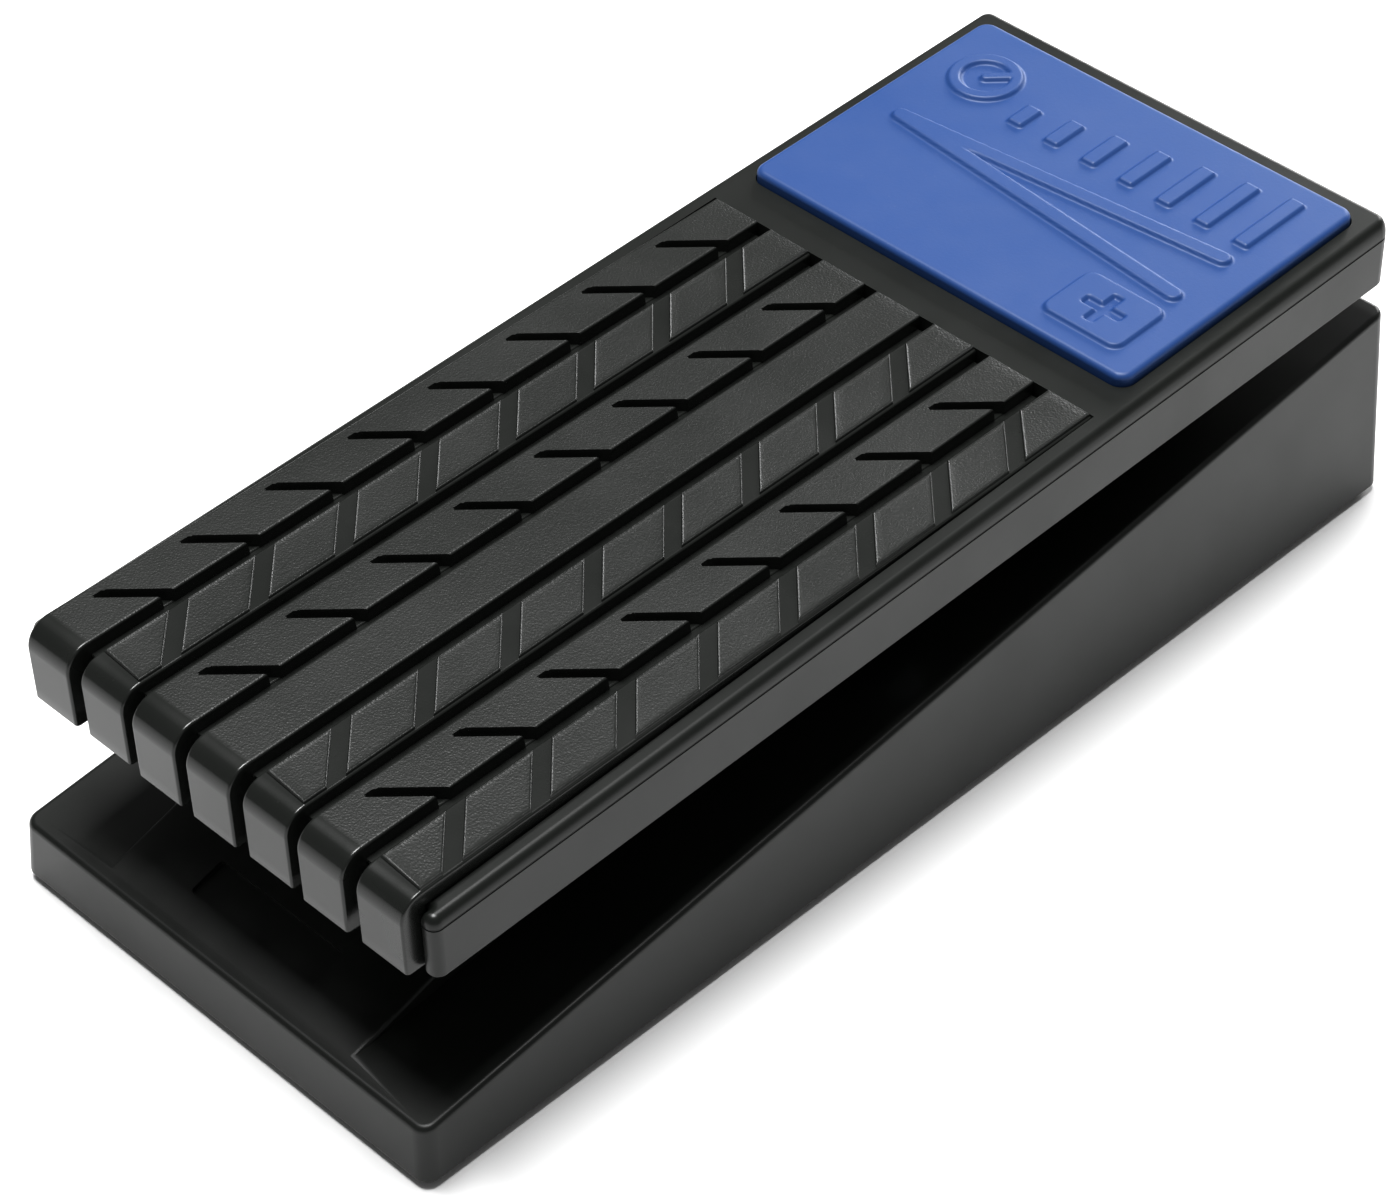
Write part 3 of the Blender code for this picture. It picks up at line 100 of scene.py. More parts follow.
def smooth_step(value: Array) -> Array:
    """Rise from 0 to 1 as value goes from 0 to 1, level at both ends: 3v^2 - 2v^3.

    Args:
        value: numbers of any size, cut to the range 0 to 1.

    Returns:
        The eased numbers.
    """
    cut = np.clip(value, 0.0, 1.0)
    return cut * cut * (3 - 2 * cut)


def quarter_drop(distance: Array, radius: float) -> Array:
    """How far a rounded edge lies below its flat: r - sqrt(r^2 - (r - d)^2) at a distance d from the side.

    Args:
        distance: distance from the side wall.
        radius: radius of the rounding.

    Returns:
        The drop, which is nothing past the radius.
    """
    inward = np.clip(radius - distance, 0.0, radius)
    return radius - np.sqrt(radius * radius - inward * inward)


def clustered(low: float, high: float, step: float, *edges: Array) -> Array:
    """Grid lines from low to high, evenly spaced, with more lines where edges ask for them.

    Args:
        low: first line.
        high: last line.
        step: greatest gap between the even lines.
        edges: places of the further lines; those outside the range are left out.

    Returns:
        The sorted places of the lines.
    """
    even = np.linspace(low, high, max(2, int(round((high - low) / step)) + 1))
    lines = np.concatenate([even, *[np.ravel(edge) for edge in edges]])
    lines = np.unique(np.round(lines[(lines >= low) & (lines <= high)], 7))
    return lines[np.concatenate([[True], np.diff(lines) > TINY])]


@dataclass(frozen=True)
class Outline:
    """A closed flat outline with rounded corners, counterclockwise.

    Each corner is an arc between its two straight sides, met by a short straight run that keeps the flat
    beside it evenly shaded.
    """

    corners: tuple
    radii: tuple
    steps: int = 6

    def loop(self, inset: float = 0.0) -> Array:
        """Points of the outline moved inwards.

        Each side moves square to itself and each corner is where its moved sides meet. The arc's points are
        its centre plus the spherical mean of the two radii that end at its sides.

        Args:
            inset: how far the outline moves inwards.

        Returns:
            An array of (points, 2).
        """
        corners = np.array(self.corners, float)
        radii = np.broadcast_to(np.array(self.radii, float), len(corners))
        ahead = np.roll(corners, -1, axis=0) - corners
        ahead /= np.linalg.norm(ahead, axis=1)[:, None]
        before = np.roll(ahead, 1, axis=0)
        inward = np.stack([-ahead[:, 1], ahead[:, 0]], 1)
        inward_before = np.roll(inward, 1, axis=0)
        share = 1 + np.sum(inward * inward_before, axis=1)
        places = corners + (inward + inward_before) * (inset / share)[:, None]
        convex = before[:, 0] * ahead[:, 1] - before[:, 1] * ahead[:, 0] > 0
        radii = np.maximum(np.where(convex, radii - inset, radii + inset), TINY)
        half = np.arccos(np.clip(np.sum(-before * ahead, axis=1), -1, 1)) / 2
        run = radii / np.tan(half)
        middle = ahead - before
        middle /= np.linalg.norm(middle, axis=1)[:, None]
        centre = places + middle * (radii / np.sin(half))[:, None]
        start, end = places - before * run[:, None], places + ahead * run[:, None]
        turn = math.pi - 2 * half
        share = np.linspace(0, 1, self.steps + 1)[None, :]
        first = np.sin((1 - share) * turn[:, None]) / np.sin(turn)[:, None]
        last = np.sin(share * turn[:, None]) / np.sin(turn)[:, None]
        arcs = first[..., None] * (start - centre)[:, None] + last[..., None] * (end - centre)[:, None]
        arcs += centre[:, None]
        lead_in = (start - before * EASE)[:, None]
        lead_out = (end + ahead * EASE)[:, None]
        return np.concatenate([lead_in, arcs, lead_out], axis=1).reshape(-1, 2)


def rectangle(half_x: float, y_low: float, y_high: float, radius: float, steps: int = 6) -> Outline:
    """A rectangle with rounded corners.

    Args:
        half_x: half its width.
        y_low: its heel end.
        y_high: its toe end.
        radius: radius of the corners.
        steps: facets of each corner.

    Returns:
        The outline, counterclockwise from the heel's left corner.
    """
    corners = ((-half_x, y_low), (half_x, y_low), (half_x, y_high), (-half_x, y_high))
    return Outline(corners, (radius,) * 4, steps)


def block_profile(low: float, high: float, low_radius: float, high_radius: float, steps: int = 5) -> Array:
    """(inset, height) points up the side of a block whose bottom and top edges are quarter circles.

    Args:
        low: height of the bottom.
        high: height of the top.
        low_radius: radius of the bottom edge.
        high_radius: radius of the top edge.
        steps: facets of each edge.

    Returns:
        An array of (points, 2) from the bottom's flat to the top's flat.
    """
    angle = np.linspace(0, math.pi / 2, steps + 1)
    below = np.stack([low_radius * (1 - np.sin(angle)), low + low_radius * (1 - np.cos(angle))], 1)
    above = np.stack([high_radius * (1 - np.cos(angle)), high - high_radius * (1 - np.sin(angle))], 1)
    first, last = [[low_radius + EASE, low]], [[high_radius + EASE, high]]
    walls = [[0, low + low_radius + EASE], [0, high - high_radius - EASE]]
    return np.concatenate([first, below, walls, above, last])


@dataclass
class Surface:
    """A mesh gathered from grids of points in one frame of the pedal.

    Attributes:
        place: the matrix from that frame to the world.
        points: the points gathered so far, one array for each grid.
        faces: the faces gathered so far, as tuples of point numbers.
        grain: how strongly each point's finish is grained, from 0 to 1.
    """

    place: Matrix
    points: list = field(default_factory=list)
    faces: list = field(default_factory=list)
    grain: list = field(default_factory=list)

    def grid(self, points: Array, closed: bool = False, grain: Array | float = 0.0) -> int:
        """Add a grid of points and its quads.

        Args:
            points: an array of (rows, columns, 3).
            closed: whether the last column joins the first.
            grain: the grain of each point, or one number for all.

        Returns:
            The number of the grid's first point.
        """
        rows, columns = points.shape[:2]
        base = sum(len(part) for part in self.points)
        row, column = np.mgrid[0:rows - 1, 0:columns if closed else columns - 1]
        after = (column + 1) % columns
        corners = [row * columns + column, row * columns + after,
                   (row + 1) * columns + after, (row + 1) * columns + column]
        self.faces += (base + np.stack(corners, -1).reshape(-1, 4)).tolist()
        self.points.append(points.reshape(-1, 3))
        self.grain.append(np.broadcast_to(grain, (rows, columns)).reshape(-1))
        return base

    def loft(self, loops: Array, grain: Array | float = 0.0) -> None:
        """Add closed loops joined in order, with a flat face over the first and the last.

        Args:
            loops: an array of (loops, points, 3).
            grain: the grain of each point, or one number for all.
        """
        rows, columns = loops.shape[:2]
        base = self.grid(loops, True, grain)
        self.faces.append(list(range(base + columns - 1, base - 1, -1)))
        self.faces.append(list(range(base + (rows - 1) * columns, base + rows * columns)))

    def block(self, outline: Outline, profile: Array, axis: str = "Z") -> None:
        """Add a block: its outline, moved inwards and along an axis as its profile says.

        Args:
            outline: the outline in X and Y, in Y and Z for a block along X, or in Z and X for one along Y.
            profile: (inset, height) points from its low end to its high end.
            axis: X, Y or Z.
        """
        loops = np.stack([level(outline.loop(inset), height) for inset, height in profile])
        self.loft(along(loops, axis))

    def box(self, low: tuple, high: tuple, corner: float = TINY, edge: float = TINY) -> None:
        """Add a box with rounded upright corners and rounded edges.

        Args:
            low: its lowest corner.
            high: its highest corner.
            corner: radius of its upright corners.
            edge: radius of its top and bottom edges.
        """
        plan = ((low[0], low[1]), (high[0], low[1]), (high[0], high[1]), (low[0], high[1]))
        self.block(Outline(plan, (corner,) * 4), block_profile(low[2], high[2], edge, edge, 3))

    def rod(self, radius: float, centre: tuple, half: float, axis: str) -> None:
        """Add a plain cylinder of a radius about a middle, half its length on each side."""
        self.turned([(0, -half), (radius, -half), (radius, half), (0, half)], centre, axis)

    def turned(self, profile: Array, centre: Vector | tuple, axis: str = "Z", steps: int = 64) -> None:
        """Add a turned solid: each profile point at radius r and height h becomes a circle.

        Args:
            profile: (radius, height) points, whose first and last may lie on the axis.
            centre: the origin of the heights, on the axis.
            axis: X, Y or Z.
            steps: points round each circle.
        """
        turn = np.linspace(0, 2 * math.pi, steps, endpoint=False)
        radius, height = np.maximum(np.array(profile, float).T, [[TINY], [-1.0]])
        ring = np.stack([radius[:, None] * np.cos(turn), radius[:, None] * np.sin(turn),
                         np.repeat(height[:, None], steps, 1)], -1)
        self.loft(along(ring, axis) + np.array(centre, float))

    def build(self, name: str, sharp: float = SHARP) -> bpy.types.Object:
        """Make the mesh object, its doubles merged and its faces pointing out.

        Args:
            name: the piece's name.
            sharp: the angle in degrees past which an edge is shaded sharp.

        Returns:
            The object, at the world's origin.
        """
        points = np.concatenate(self.points)
        turn = np.array(self.place)
        mesh = bpy.data.meshes.new(name)
        mesh.from_pydata(points @ turn[:3, :3].T + turn[:3, 3], [], self.faces)
        mesh.attributes.new("grain", "FLOAT", "POINT").data.foreach_set(
            "value", np.concatenate(self.grain).astype(np.float32))
        shape = bmesh.new()
        shape.from_mesh(mesh)
        bmesh.ops.remove_doubles(shape, verts=shape.verts, dist=WELD)
        bmesh.ops.recalc_face_normals(shape, faces=shape.faces)
        shape.to_mesh(mesh)
        shape.free()
        shade(mesh, sharp)
        piece = bpy.data.objects.new(name, mesh)
        bpy.context.scene.collection.objects.link(piece)
        return piece


def level(plan: Array, height: float | Array) -> Array:
    """Put (X, Y) points at a height."""
    return np.concatenate([plan, np.broadcast_to(height, len(plan))[:, None]], axis=1)


def along(points: Array, axis: str) -> Array:
    """Turn points whose axis is Z so that it lies along X or Y."""
    x, y, z = points[..., 0], points[..., 1], points[..., 2]
    return {"X": np.stack([z, x, y], -1), "Y": np.stack([y, z, x], -1), "Z": points}[axis]


def shade(mesh: bpy.types.Mesh, sharp: float) -> None:
    """Shade a mesh smooth, with edges past an angle in degrees sharp."""
    mesh.shade_smooth()
    mesh.set_sharp_from_angle(angle=math.radians(sharp))


class Carving(Enum):
    """What a second solid does to a first."""

    JOIN = "UNION"
    CUT = "DIFFERENCE"


def carve(piece: bpy.types.Object, other: Surface, how: Carving) -> None:
    """Join a solid to a piece or cut it out, and keep the result as the piece's own mesh.

    Args:
        piece: the piece to change.
        other: the solid, which may hold several bodies that don't touch.
        how: whether it is joined or cut.
    """
    helper = other.build("helper")
    modifier = piece.modifiers.new("carve", "BOOLEAN")
    modifier.operation = how.value
    modifier.object = helper
    graph = bpy.context.evaluated_depsgraph_get()
    mesh = bpy.data.meshes.new_from_object(piece.evaluated_get(graph))
    piece.modifiers.clear()
    old, piece.data = piece.data, mesh
    mesh.name = piece.name
    bpy.data.meshes.remove(old)
    bpy.data.objects.remove(helper, do_unlink=True)


# ---------------------------------------------------------------- frames of the pedal

CASE_LOW, CASE_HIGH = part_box("base_case")
MIDDLE_Y = (CASE_LOW.y + CASE_HIGH.y) / 2
JOINTS = {joint["name"]: joint for joint in frame["joints"]}
TREADLE_PITCH = math.radians(1.92)
BASE_FRAME = Matrix.Translation((0, MIDDLE_Y, CASE_LOW.z))
AXLE = Vector(JOINTS["treadle_rock"]["pos_m"])
TREADLE_FRAME = Matrix.Translation(AXLE) @ Matrix.Rotation(TREADLE_PITCH, 4, "X")
WORLD_FRAME = Matrix.Identity(4)
PIVOT_HEIGHT = AXLE.z - CASE_LOW.z


def middle_of(node: str) -> Vector:
    """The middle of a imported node's box."""
    low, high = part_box(node)
    return (low + high) / 2


# ---------------------------------------------------------------- shader wiring


@dataclass
class Wiring:
    """Short calls to add nodes to one shader tree and to link them."""

    tree: bpy.types.NodeTree

    def add(self, kind: str, inputs: dict | None = None, **settings: object) -> bpy.types.Node:
        """Add a node.

        Args:
            kind: the node's type without its ShaderNode prefix.
            inputs: a number, a colour or another node's output for each input, by name or place.
            settings: the node's own settings.

        Returns:
            The node.
        """
        node = self.tree.nodes.new("ShaderNode" + kind)
        for name, value in settings.items():
            setattr(node, name, value)
        for name, value in (inputs or {}).items():
            self.feed(node.inputs[name], value)
        return node

    def feed(self, socket: bpy.types.NodeSocket, value: object) -> None:
        """Link an output to an input, or set the input's own value.

        Args:
            socket: the input.
            value: an output to link, or the value to set.
        """
        if isinstance(value, bpy.types.NodeSocket):
            self.tree.links.new(value, socket)
        else:
            socket.default_value = value

    def math(self, operation: str, *values: object) -> bpy.types.NodeSocket:
        """The result of a Math node on one to three values."""
        return self.add("Math", dict(enumerate(values)), operation=operation).outputs[0]

    def noise(self, vector: object, scale: object, detail: float = 3.0, roughness: float = 0.5) -> object:
        """The value of a noise texture."""
        inputs = {"Vector": vector, "Scale": scale, "Detail": detail, "Roughness": roughness}
        return self.add("TexNoise", inputs).outputs["Fac"]

    def spread(self, value: object, low: float, high: float, to_low: float, to_high: float) -> object:
        """A value carried from one range to another and held inside it."""
        inputs = {"Value": value, "From Min": low, "From Max": high, "To Min": to_low, "To Max": to_high}
        return self.add("MapRange", inputs).outputs["Result"]

    def blend(self, share: object, first: object, second: object) -> bpy.types.NodeSocket:
        """A colour between two others."""
        node = self.add("Mix", {0: share, 6: first, 7: second}, data_type="RGBA")
        return node.outputs[2]


def new_group(name: str, inputs: dict, outputs: tuple) -> tuple[Wiring, dict, bpy.types.Node]:
    """Make a shader node group.

    Args:
        name: the group's name.
        inputs: the default of each input by name; None makes a vector input.
        outputs: the names of its value outputs.

    Returns:
        The wiring of its tree, its input sockets by name and its output node.
    """
    tree = bpy.data.node_groups.new(name, "ShaderNodeTree")
    for key, value in inputs.items():
        kind = "NodeSocketVector" if value is None else "NodeSocketFloat"
        socket = tree.interface.new_socket(key, in_out="INPUT", socket_type=kind)
        if value is not None:
            socket.default_value = value
    for key in outputs:
        tree.interface.new_socket(key, in_out="OUTPUT", socket_type="NodeSocketFloat")
    start, end = tree.nodes.new("NodeGroupInput"), tree.nodes.new("NodeGroupOutput")
    return Wiring(tree), {key: start.outputs[key] for key in inputs}, end


class Effects:
    """The shader groups that more than one finish uses."""

    def __init__(self) -> None:
        """Build each group once."""
        self.leather = self.leather_grain()
        self.mould = self.mould_texture()
        # rubbed edges, lightened also as a painted edge highlight
        self.wear_and_highlight = self.edge_wear_and_highlight()
        self.dust = self.settled_dust()
        self.brush = self.brushed_lines()

    @staticmethod
    def leather_grain() -> bpy.types.NodeTree:
        """Pebbled grain: the rounded distance to the middle of wandering cells.

        Returns:
            The group's tree.
        """
        wiring, given, end = new_group("leather_grain", {"Vector": None, "Scale": 2400.0}, ("Height",))
        wander = wiring.add("TexNoise", {"Vector": given["Vector"], "Scale": given["Scale"], "Detail": 1.0})
        shift = wiring.add("VectorMath", {0: wander.outputs["Color"], "Scale": 0.00012}, operation="SCALE")
        moved = wiring.add("VectorMath", {0: given["Vector"], 1: shift.outputs[0]}, operation="ADD")
        cells = wiring.add(
            "TexVoronoi", {"Vector": moved.outputs[0], "Scale": given["Scale"]}, feature="SMOOTH_F1")
        pebble = wiring.spread(cells.outputs["Distance"], 0.0, 0.7, 1.0, 0.0)
        fine = wiring.noise(given["Vector"], wiring.math("MULTIPLY", given["Scale"], 1.7), 2.0)
        height = wiring.math("MULTIPLY_ADD", fine, 0.45, wiring.math("MULTIPLY", pebble, 0.55))
        wiring.feed(end.inputs["Height"], height)
        return wiring.tree

    @staticmethod
    def mould_texture() -> bpy.types.NodeTree:
        """Spark-eroded mould skin: fine noise, with slow patches that change its gloss.

        Returns:
            The group's tree.
        """
        wiring, given, end = new_group(
            "mould_texture", {"Vector": None, "Scale": 3500.0}, ("Height", "Variation"))
        wiring.feed(end.inputs["Height"], wiring.noise(given["Vector"], given["Scale"], 4.0, 0.65))
        slow = wiring.noise(given["Vector"], 38.0, 4.0, 0.55)
        wiring.feed(end.inputs["Variation"], wiring.math("SUBTRACT", slow, 0.5))
        return wiring.tree

    @staticmethod
    def edge_wear_and_highlight() -> bpy.types.NodeTree:
        """Rubbed edges, lightened also as a painted highlight: where the surface bends outwards, broken up by
        noise.

        Returns:
            The group's tree.
        """
        wiring, given, end = new_group("edge_wear_and_highlight", {"Vector": None, "Amount": 0.5}, ("Mask",))
        # convex edges get a lighter colour: real rubbing plus a painted edge highlight
        bend = wiring.add("NewGeometry").outputs["Pointiness"]
        edge = wiring.spread(bend, 0.52, 0.62, 0.0, 1.0)
        broken = wiring.spread(wiring.noise(given["Vector"], 420.0, 5.0, 0.7), 0.42, 0.62, 0.0, 1.0)
        mask = wiring.math("MULTIPLY", wiring.math("MULTIPLY", edge, broken), given["Amount"])
        wiring.feed(end.inputs["Mask"], mask)
        return wiring.tree

    @staticmethod
    def settled_dust() -> bpy.types.NodeTree:
        """Dust: sparse specks and a faint film on faces that look up.

        Returns:
            The group's tree.
        """
        wiring, given, end = new_group("settled_dust", {"Vector": None, "Amount": 0.3}, ("Mask",))
        normal = wiring.add("SeparateXYZ", {0: wiring.add("NewGeometry").outputs["Normal"]}).outputs["Z"]
        upward = wiring.spread(normal, 0.55, 0.98, 0.0, 1.0)
        specks = wiring.add("TexVoronoi", {"Vector": given["Vector"], "Scale": 260.0})
        dots = wiring.spread(specks.outputs["Distance"], 0.035, 0.06, 1.0, 0.0)
        film = wiring.spread(wiring.noise(given["Vector"], 65.0, 5.0, 0.6), 0.45, 0.75, 0.0, 0.35)
        mask = wiring.math("MULTIPLY", wiring.math("MULTIPLY", wiring.math("MAXIMUM", dots, film), upward),
                           given["Amount"])
        wiring.feed(end.inputs["Mask"], mask)
        return wiring.tree

    @staticmethod
    def brushed_lines() -> bpy.types.NodeTree:
        """Drawn or turned metal: noise stretched along one way, as a height and a change of gloss.

        Returns:
            The group's tree.
        """
        wiring, given, end = new_group(
            "brushed_lines", {"Vector": None, "Scale": 1500.0}, ("Height", "Variation"))
        stretch = wiring.add("Mapping", {"Vector": given["Vector"], "Scale": (1.0, 0.04, 1.0)})
        lines = wiring.noise(stretch.outputs[0], given["Scale"], 3.0, 0.6)
        wiring.feed(end.inputs["Height"], lines)
        slow = wiring.noise(given["Vector"], 90.0, 3.0)
        mixed = wiring.math("MULTIPLY_ADD", lines, 0.6, wiring.math("MULTIPLY", slow, 0.4))
        wiring.feed(end.inputs["Variation"], wiring.math("SUBTRACT", mixed, 0.5))
        return wiring.tree


EFFECTS = Effects()


def place_group(wiring: Wiring, group: bpy.types.NodeTree, **inputs: object) -> bpy.types.NodeOutputs:
    """Put a shared group into a material and give it its values.

    Args:
        wiring: the wiring of the material.
        group: the shared group.
        inputs: a value or an output for each of its inputs, by name.

    Returns:
        The group node's outputs.
    """
    node = wiring.add("Group", node_tree=group)
    for name, value in inputs.items():
        wiring.feed(node.inputs[name], value)
    return node.outputs


def lift(wiring: Wiring, shader: bpy.types.Node, height: bpy.types.NodeSocket) -> None:
    """Give a shader a bump whose height is in metres.

    Args:
        wiring: the wiring of the material.
        shader: the shader to bump.
        height: the height, in metres.
    """
    bump = wiring.add("Bump", {"Height": height, "Strength": 1.0, "Distance": 1.0})
    wiring.feed(shader.inputs["Normal"], bump.outputs[0])


def start_material(name: str) -> tuple[bpy.types.Material, Wiring, bpy.types.Node, object]:
    """A new material with its wiring, its shader and the Object coordinates.

    Args:
        name: the material's name.

    Returns:
        The material, its wiring, its shader and the Object coordinates.
    """
    material = bpy.data.materials.new(name)
    material.use_nodes = True
    wiring = Wiring(material.node_tree)
    shader = material.node_tree.nodes["Principled BSDF"]
    return material, wiring, shader, wiring.add("TexCoord").outputs["Object"]


# ---------------------------------------------------------------- finishes

PLASTIC_DUST = (0.42, 0.41, 0.39, 1)
METAL_DUST = (0.30, 0.29, 0.27, 1)


def aged_colour(wiring: Wiring, finish: "Plastic | Metal", place: object, dust: tuple) -> tuple:
    """Mix a finish's colour with its worn edges, lightened also as a painted highlight, and its dust.

    Args:
        wiring: the wiring of the material.
        finish: the finish, with its colour, its colour for worn and highlighted edges, the strength of that
            wear and painted highlight, and its dust.
        place: the Object coordinates.
        dust: the colour of the dust.

    Returns:
        The colour, the mask of the worn edges with their painted highlight and the mask of the dust.
    """
    rubbed_and_highlit = place_group(wiring, EFFECTS.wear_and_highlight, Vector=place, Amount=finish.wear_and_highlight)["Mask"]
    dusty = place_group(wiring, EFFECTS.dust, Vector=place, Amount=finish.dust)["Mask"]
    # the edge colour is lighter: worn edges plus a painted edge highlight
    colour = wiring.blend(rubbed_and_highlit, (*finish.colour, 1), (*finish.worn_and_highlit, 1))
    return wiring.blend(dusty, colour, dust), rubbed_and_highlit, dusty


@dataclass(frozen=True)
class Plastic:
    """A moulded plastic or rubber.

    Attributes:
        name: the material's name.
        colour: its linear colour.
        worn_and_highlit: its linear colour where an edge is rubbed, lighter also as a painted highlight.
        roughness: its mean roughness.
        unevenness: how far its roughness wanders.
        skin: height of its mould skin.
        leather: height of its pebbled grain, where a piece asks for it.
        leather_scale: pebbles in a metre.
        smooth_gloss: how much rougher its grained skin is than its smooth skin.
        wear_and_highlight: how strongly its edges are rubbed and lightened as a painted highlight.
        dust: how much dust lies on it.
        specular: strength of its plain reflection, 0.5 for common plastics.
    """

    name: str
    colour: tuple
    worn_and_highlit: tuple
    roughness: float
    unevenness: float = 0.10
    skin: float = 0.010 * MM
    leather: float = 0.0
    leather_scale: float = 2400.0
    smooth_gloss: float = 0.0
    wear_and_highlight: float = 0.25
    dust: float = 0.15
    specular: float = 0.5

    def material(self) -> bpy.types.Material:
        """Wire the material: colour with worn edges lightened also as a painted highlight, and dust, uneven
        gloss, and skin and grain as bump.

        Returns:
            The material.
        """
        material, wiring, shader, place = start_material(self.name)
        mould = place_group(wiring, EFFECTS.mould, Vector=place)
        # the lighter edge colour is wear plus a painted edge highlight
        colour, rubbed_and_highlit, dusty = aged_colour(wiring, self, place, PLASTIC_DUST)
        wiring.feed(shader.inputs["Base Color"], colour)
        gloss = wiring.math("MULTIPLY_ADD", mould["Variation"], 2 * self.unevenness, self.roughness)
        gloss = wiring.math("MULTIPLY_ADD", dusty, 0.5, gloss)
        height = wiring.math("MULTIPLY", mould["Height"], self.skin)
        if self.leather:
            grain = wiring.add("Attribute", attribute_name="grain").outputs["Fac"]
            gloss = wiring.math("MULTIPLY_ADD", grain, self.smooth_gloss, gloss)
            pebbles = place_group(wiring, EFFECTS.leather, Vector=place, Scale=self.leather_scale)
            depth = wiring.math("MULTIPLY", grain, self.leather)
            height = wiring.math("MULTIPLY_ADD", pebbles["Height"], depth, height)
        wiring.feed(shader.inputs["Roughness"], wiring.math("MULTIPLY_ADD", rubbed_and_highlit, -0.12, gloss))
        lift(wiring, shader, height)
        shader.inputs["Specular IOR Level"].default_value = self.specular
        return material


@dataclass(frozen=True)
class Metal:
    """A drawn, turned or plated metal.

    Attributes:
        name: the material's name.
        colour: its linear colour.
        worn_and_highlit: its linear colour where an edge is rubbed, lighter also as a painted highlight.
        roughness: its mean roughness.
        unevenness: how far its roughness wanders.
        lines: height of its drawing or turning lines.
        line_scale: lines in a metre.
        wear_and_highlight: how strongly its edges are rubbed and lightened as a painted highlight.
        dust: how much dust lies on it.
    """

    name: str
    colour: tuple
    worn_and_highlit: tuple
    roughness: float
    unevenness: float = 0.12
    lines: float = 0.004 * MM
    line_scale: float = 1500.0
    wear_and_highlight: float = 0.5
    dust: float = 0.1

    def material(self) -> bpy.types.Material:
        """Wire the material: tinted metal with brighter edges, from wear and a painted highlight, uneven
        gloss and fine lines as bump.

        Returns:
            The material.
        """
        material, wiring, shader, place = start_material(self.name)
        brush = place_group(wiring, EFFECTS.brush, Vector=place, Scale=self.line_scale)
        colour, _, dusty = aged_colour(wiring, self, place, METAL_DUST)
        wiring.feed(shader.inputs["Base Color"], colour)
        gloss = wiring.math("MULTIPLY_ADD", brush["Variation"], 2 * self.unevenness, self.roughness)
        wiring.feed(shader.inputs["Roughness"], wiring.math("MULTIPLY_ADD", dusty, 0.4, gloss))
        height = wiring.math("MULTIPLY", brush["Height"], self.lines)
        lift(wiring, shader, height)
        shader.inputs["Metallic"].default_value = 1.0
        return material


@dataclass(frozen=True)
class Laminate:
    """Phenolic circuit board: pressed paper with a faint weave under a thin varnish.

    Attributes:
        name: the material's name.
        colour: its linear colour.
        dark: the colour of its darker fibres.
        roughness: its mean roughness.
        weave: threads in a metre.
    """

    name: str
    colour: tuple
    dark: tuple
    roughness: float
    weave: float = 900.0

    def material(self) -> bpy.types.Material:
        """Wire the material: crossed waves and noise mix two browns and lift the surface a little.

        Returns:
            The material.
        """
        material, wiring, shader, place = start_material(self.name)
        waves = [wiring.add("TexWave", {"Vector": place, "Scale": self.weave, "Distortion": 2.0},
                            bands_direction=way).outputs["Fac"] for way in "XZ"]
        threads = wiring.math("MULTIPLY", *waves)
        blotch = wiring.noise(place, 140.0, 4.0)
        share = wiring.math("MULTIPLY_ADD", threads, 0.4, wiring.math("MULTIPLY", blotch, 0.6))
        wiring.feed(shader.inputs["Base Color"], wiring.blend(share, (*self.colour, 1), (*self.dark, 1)))
        wiring.feed(shader.inputs["Roughness"], wiring.math("MULTIPLY_ADD", blotch, 0.15, self.roughness))
        height = wiring.math("MULTIPLY", threads, 0.01 * MM)
        lift(wiring, shader, height)
        return material


@dataclass(frozen=True)
class Paper:
    """The plain pale studio floor: matt, with the faintest mottling.

    Attributes:
        name: the material's name.
        colour: its linear colour.
    """

    name: str
    colour: tuple

    def material(self) -> bpy.types.Material:
        """Wire the material: a slow noise changes its tone by a hundredth.

        Returns:
            The material.
        """
        material, wiring, shader, place = start_material(self.name)
        tone = wiring.noise(place, 3.0, 2.0)
        dimmer = tuple(0.99 * part for part in self.colour)
        wiring.feed(shader.inputs["Base Color"], wiring.blend(tone, (*self.colour, 1), (*dimmer, 1)))
        shader.inputs["Roughness"].default_value = 0.9
        shader.inputs["Specular IOR Level"].default_value = 0.1
        return material


# each finish's second colour is its edge colour: lighter for rubbing and as a painted edge highlight
CASE_BLACK = Plastic("case_black", (0.010, 0.0115, 0.010), (0.05, 0.05, 0.05), 0.36,
                     skin=0.006 * MM, dust=0.02, specular=0.42)
TREAD_BLACK = Plastic("tread_black", (0.012, 0.0135, 0.012), (0.05, 0.05, 0.05), 0.26,
                      leather=0.07 * MM, smooth_gloss=0.14, skin=0.006 * MM, dust=0.02)
BADGE_BLUE = Plastic("badge_blue", (0.019, 0.066, 0.215), (0.05, 0.11, 0.30), 0.46, skin=0.012 * MM,
                     leather=0.012 * MM, leather_scale=1500.0, wear_and_highlight=0.15, dust=0.05)
RUBBER = Plastic("foot_rubber", (0.018, 0.018, 0.018), (0.05, 0.05, 0.05), 0.82, skin=0.03 * MM, dust=0.4)
JACK_BLACK = Plastic("jack_black", (0.014, 0.014, 0.015), (0.06, 0.06, 0.06), 0.45)
TRIM_GREY = Plastic("trim_grey", (0.060, 0.060, 0.064), (0.16, 0.16, 0.16), 0.45)
NYLON = Plastic("gear_nylon", (0.70, 0.69, 0.64), (0.80, 0.80, 0.78), 0.45, skin=0.008 * MM, wear_and_highlight=0.2)
LEAD_COVER = Plastic("lead_plastic", (0.42, 0.026, 0.022), (0.5, 0.1, 0.09), 0.4, wear_and_highlight=0.1)
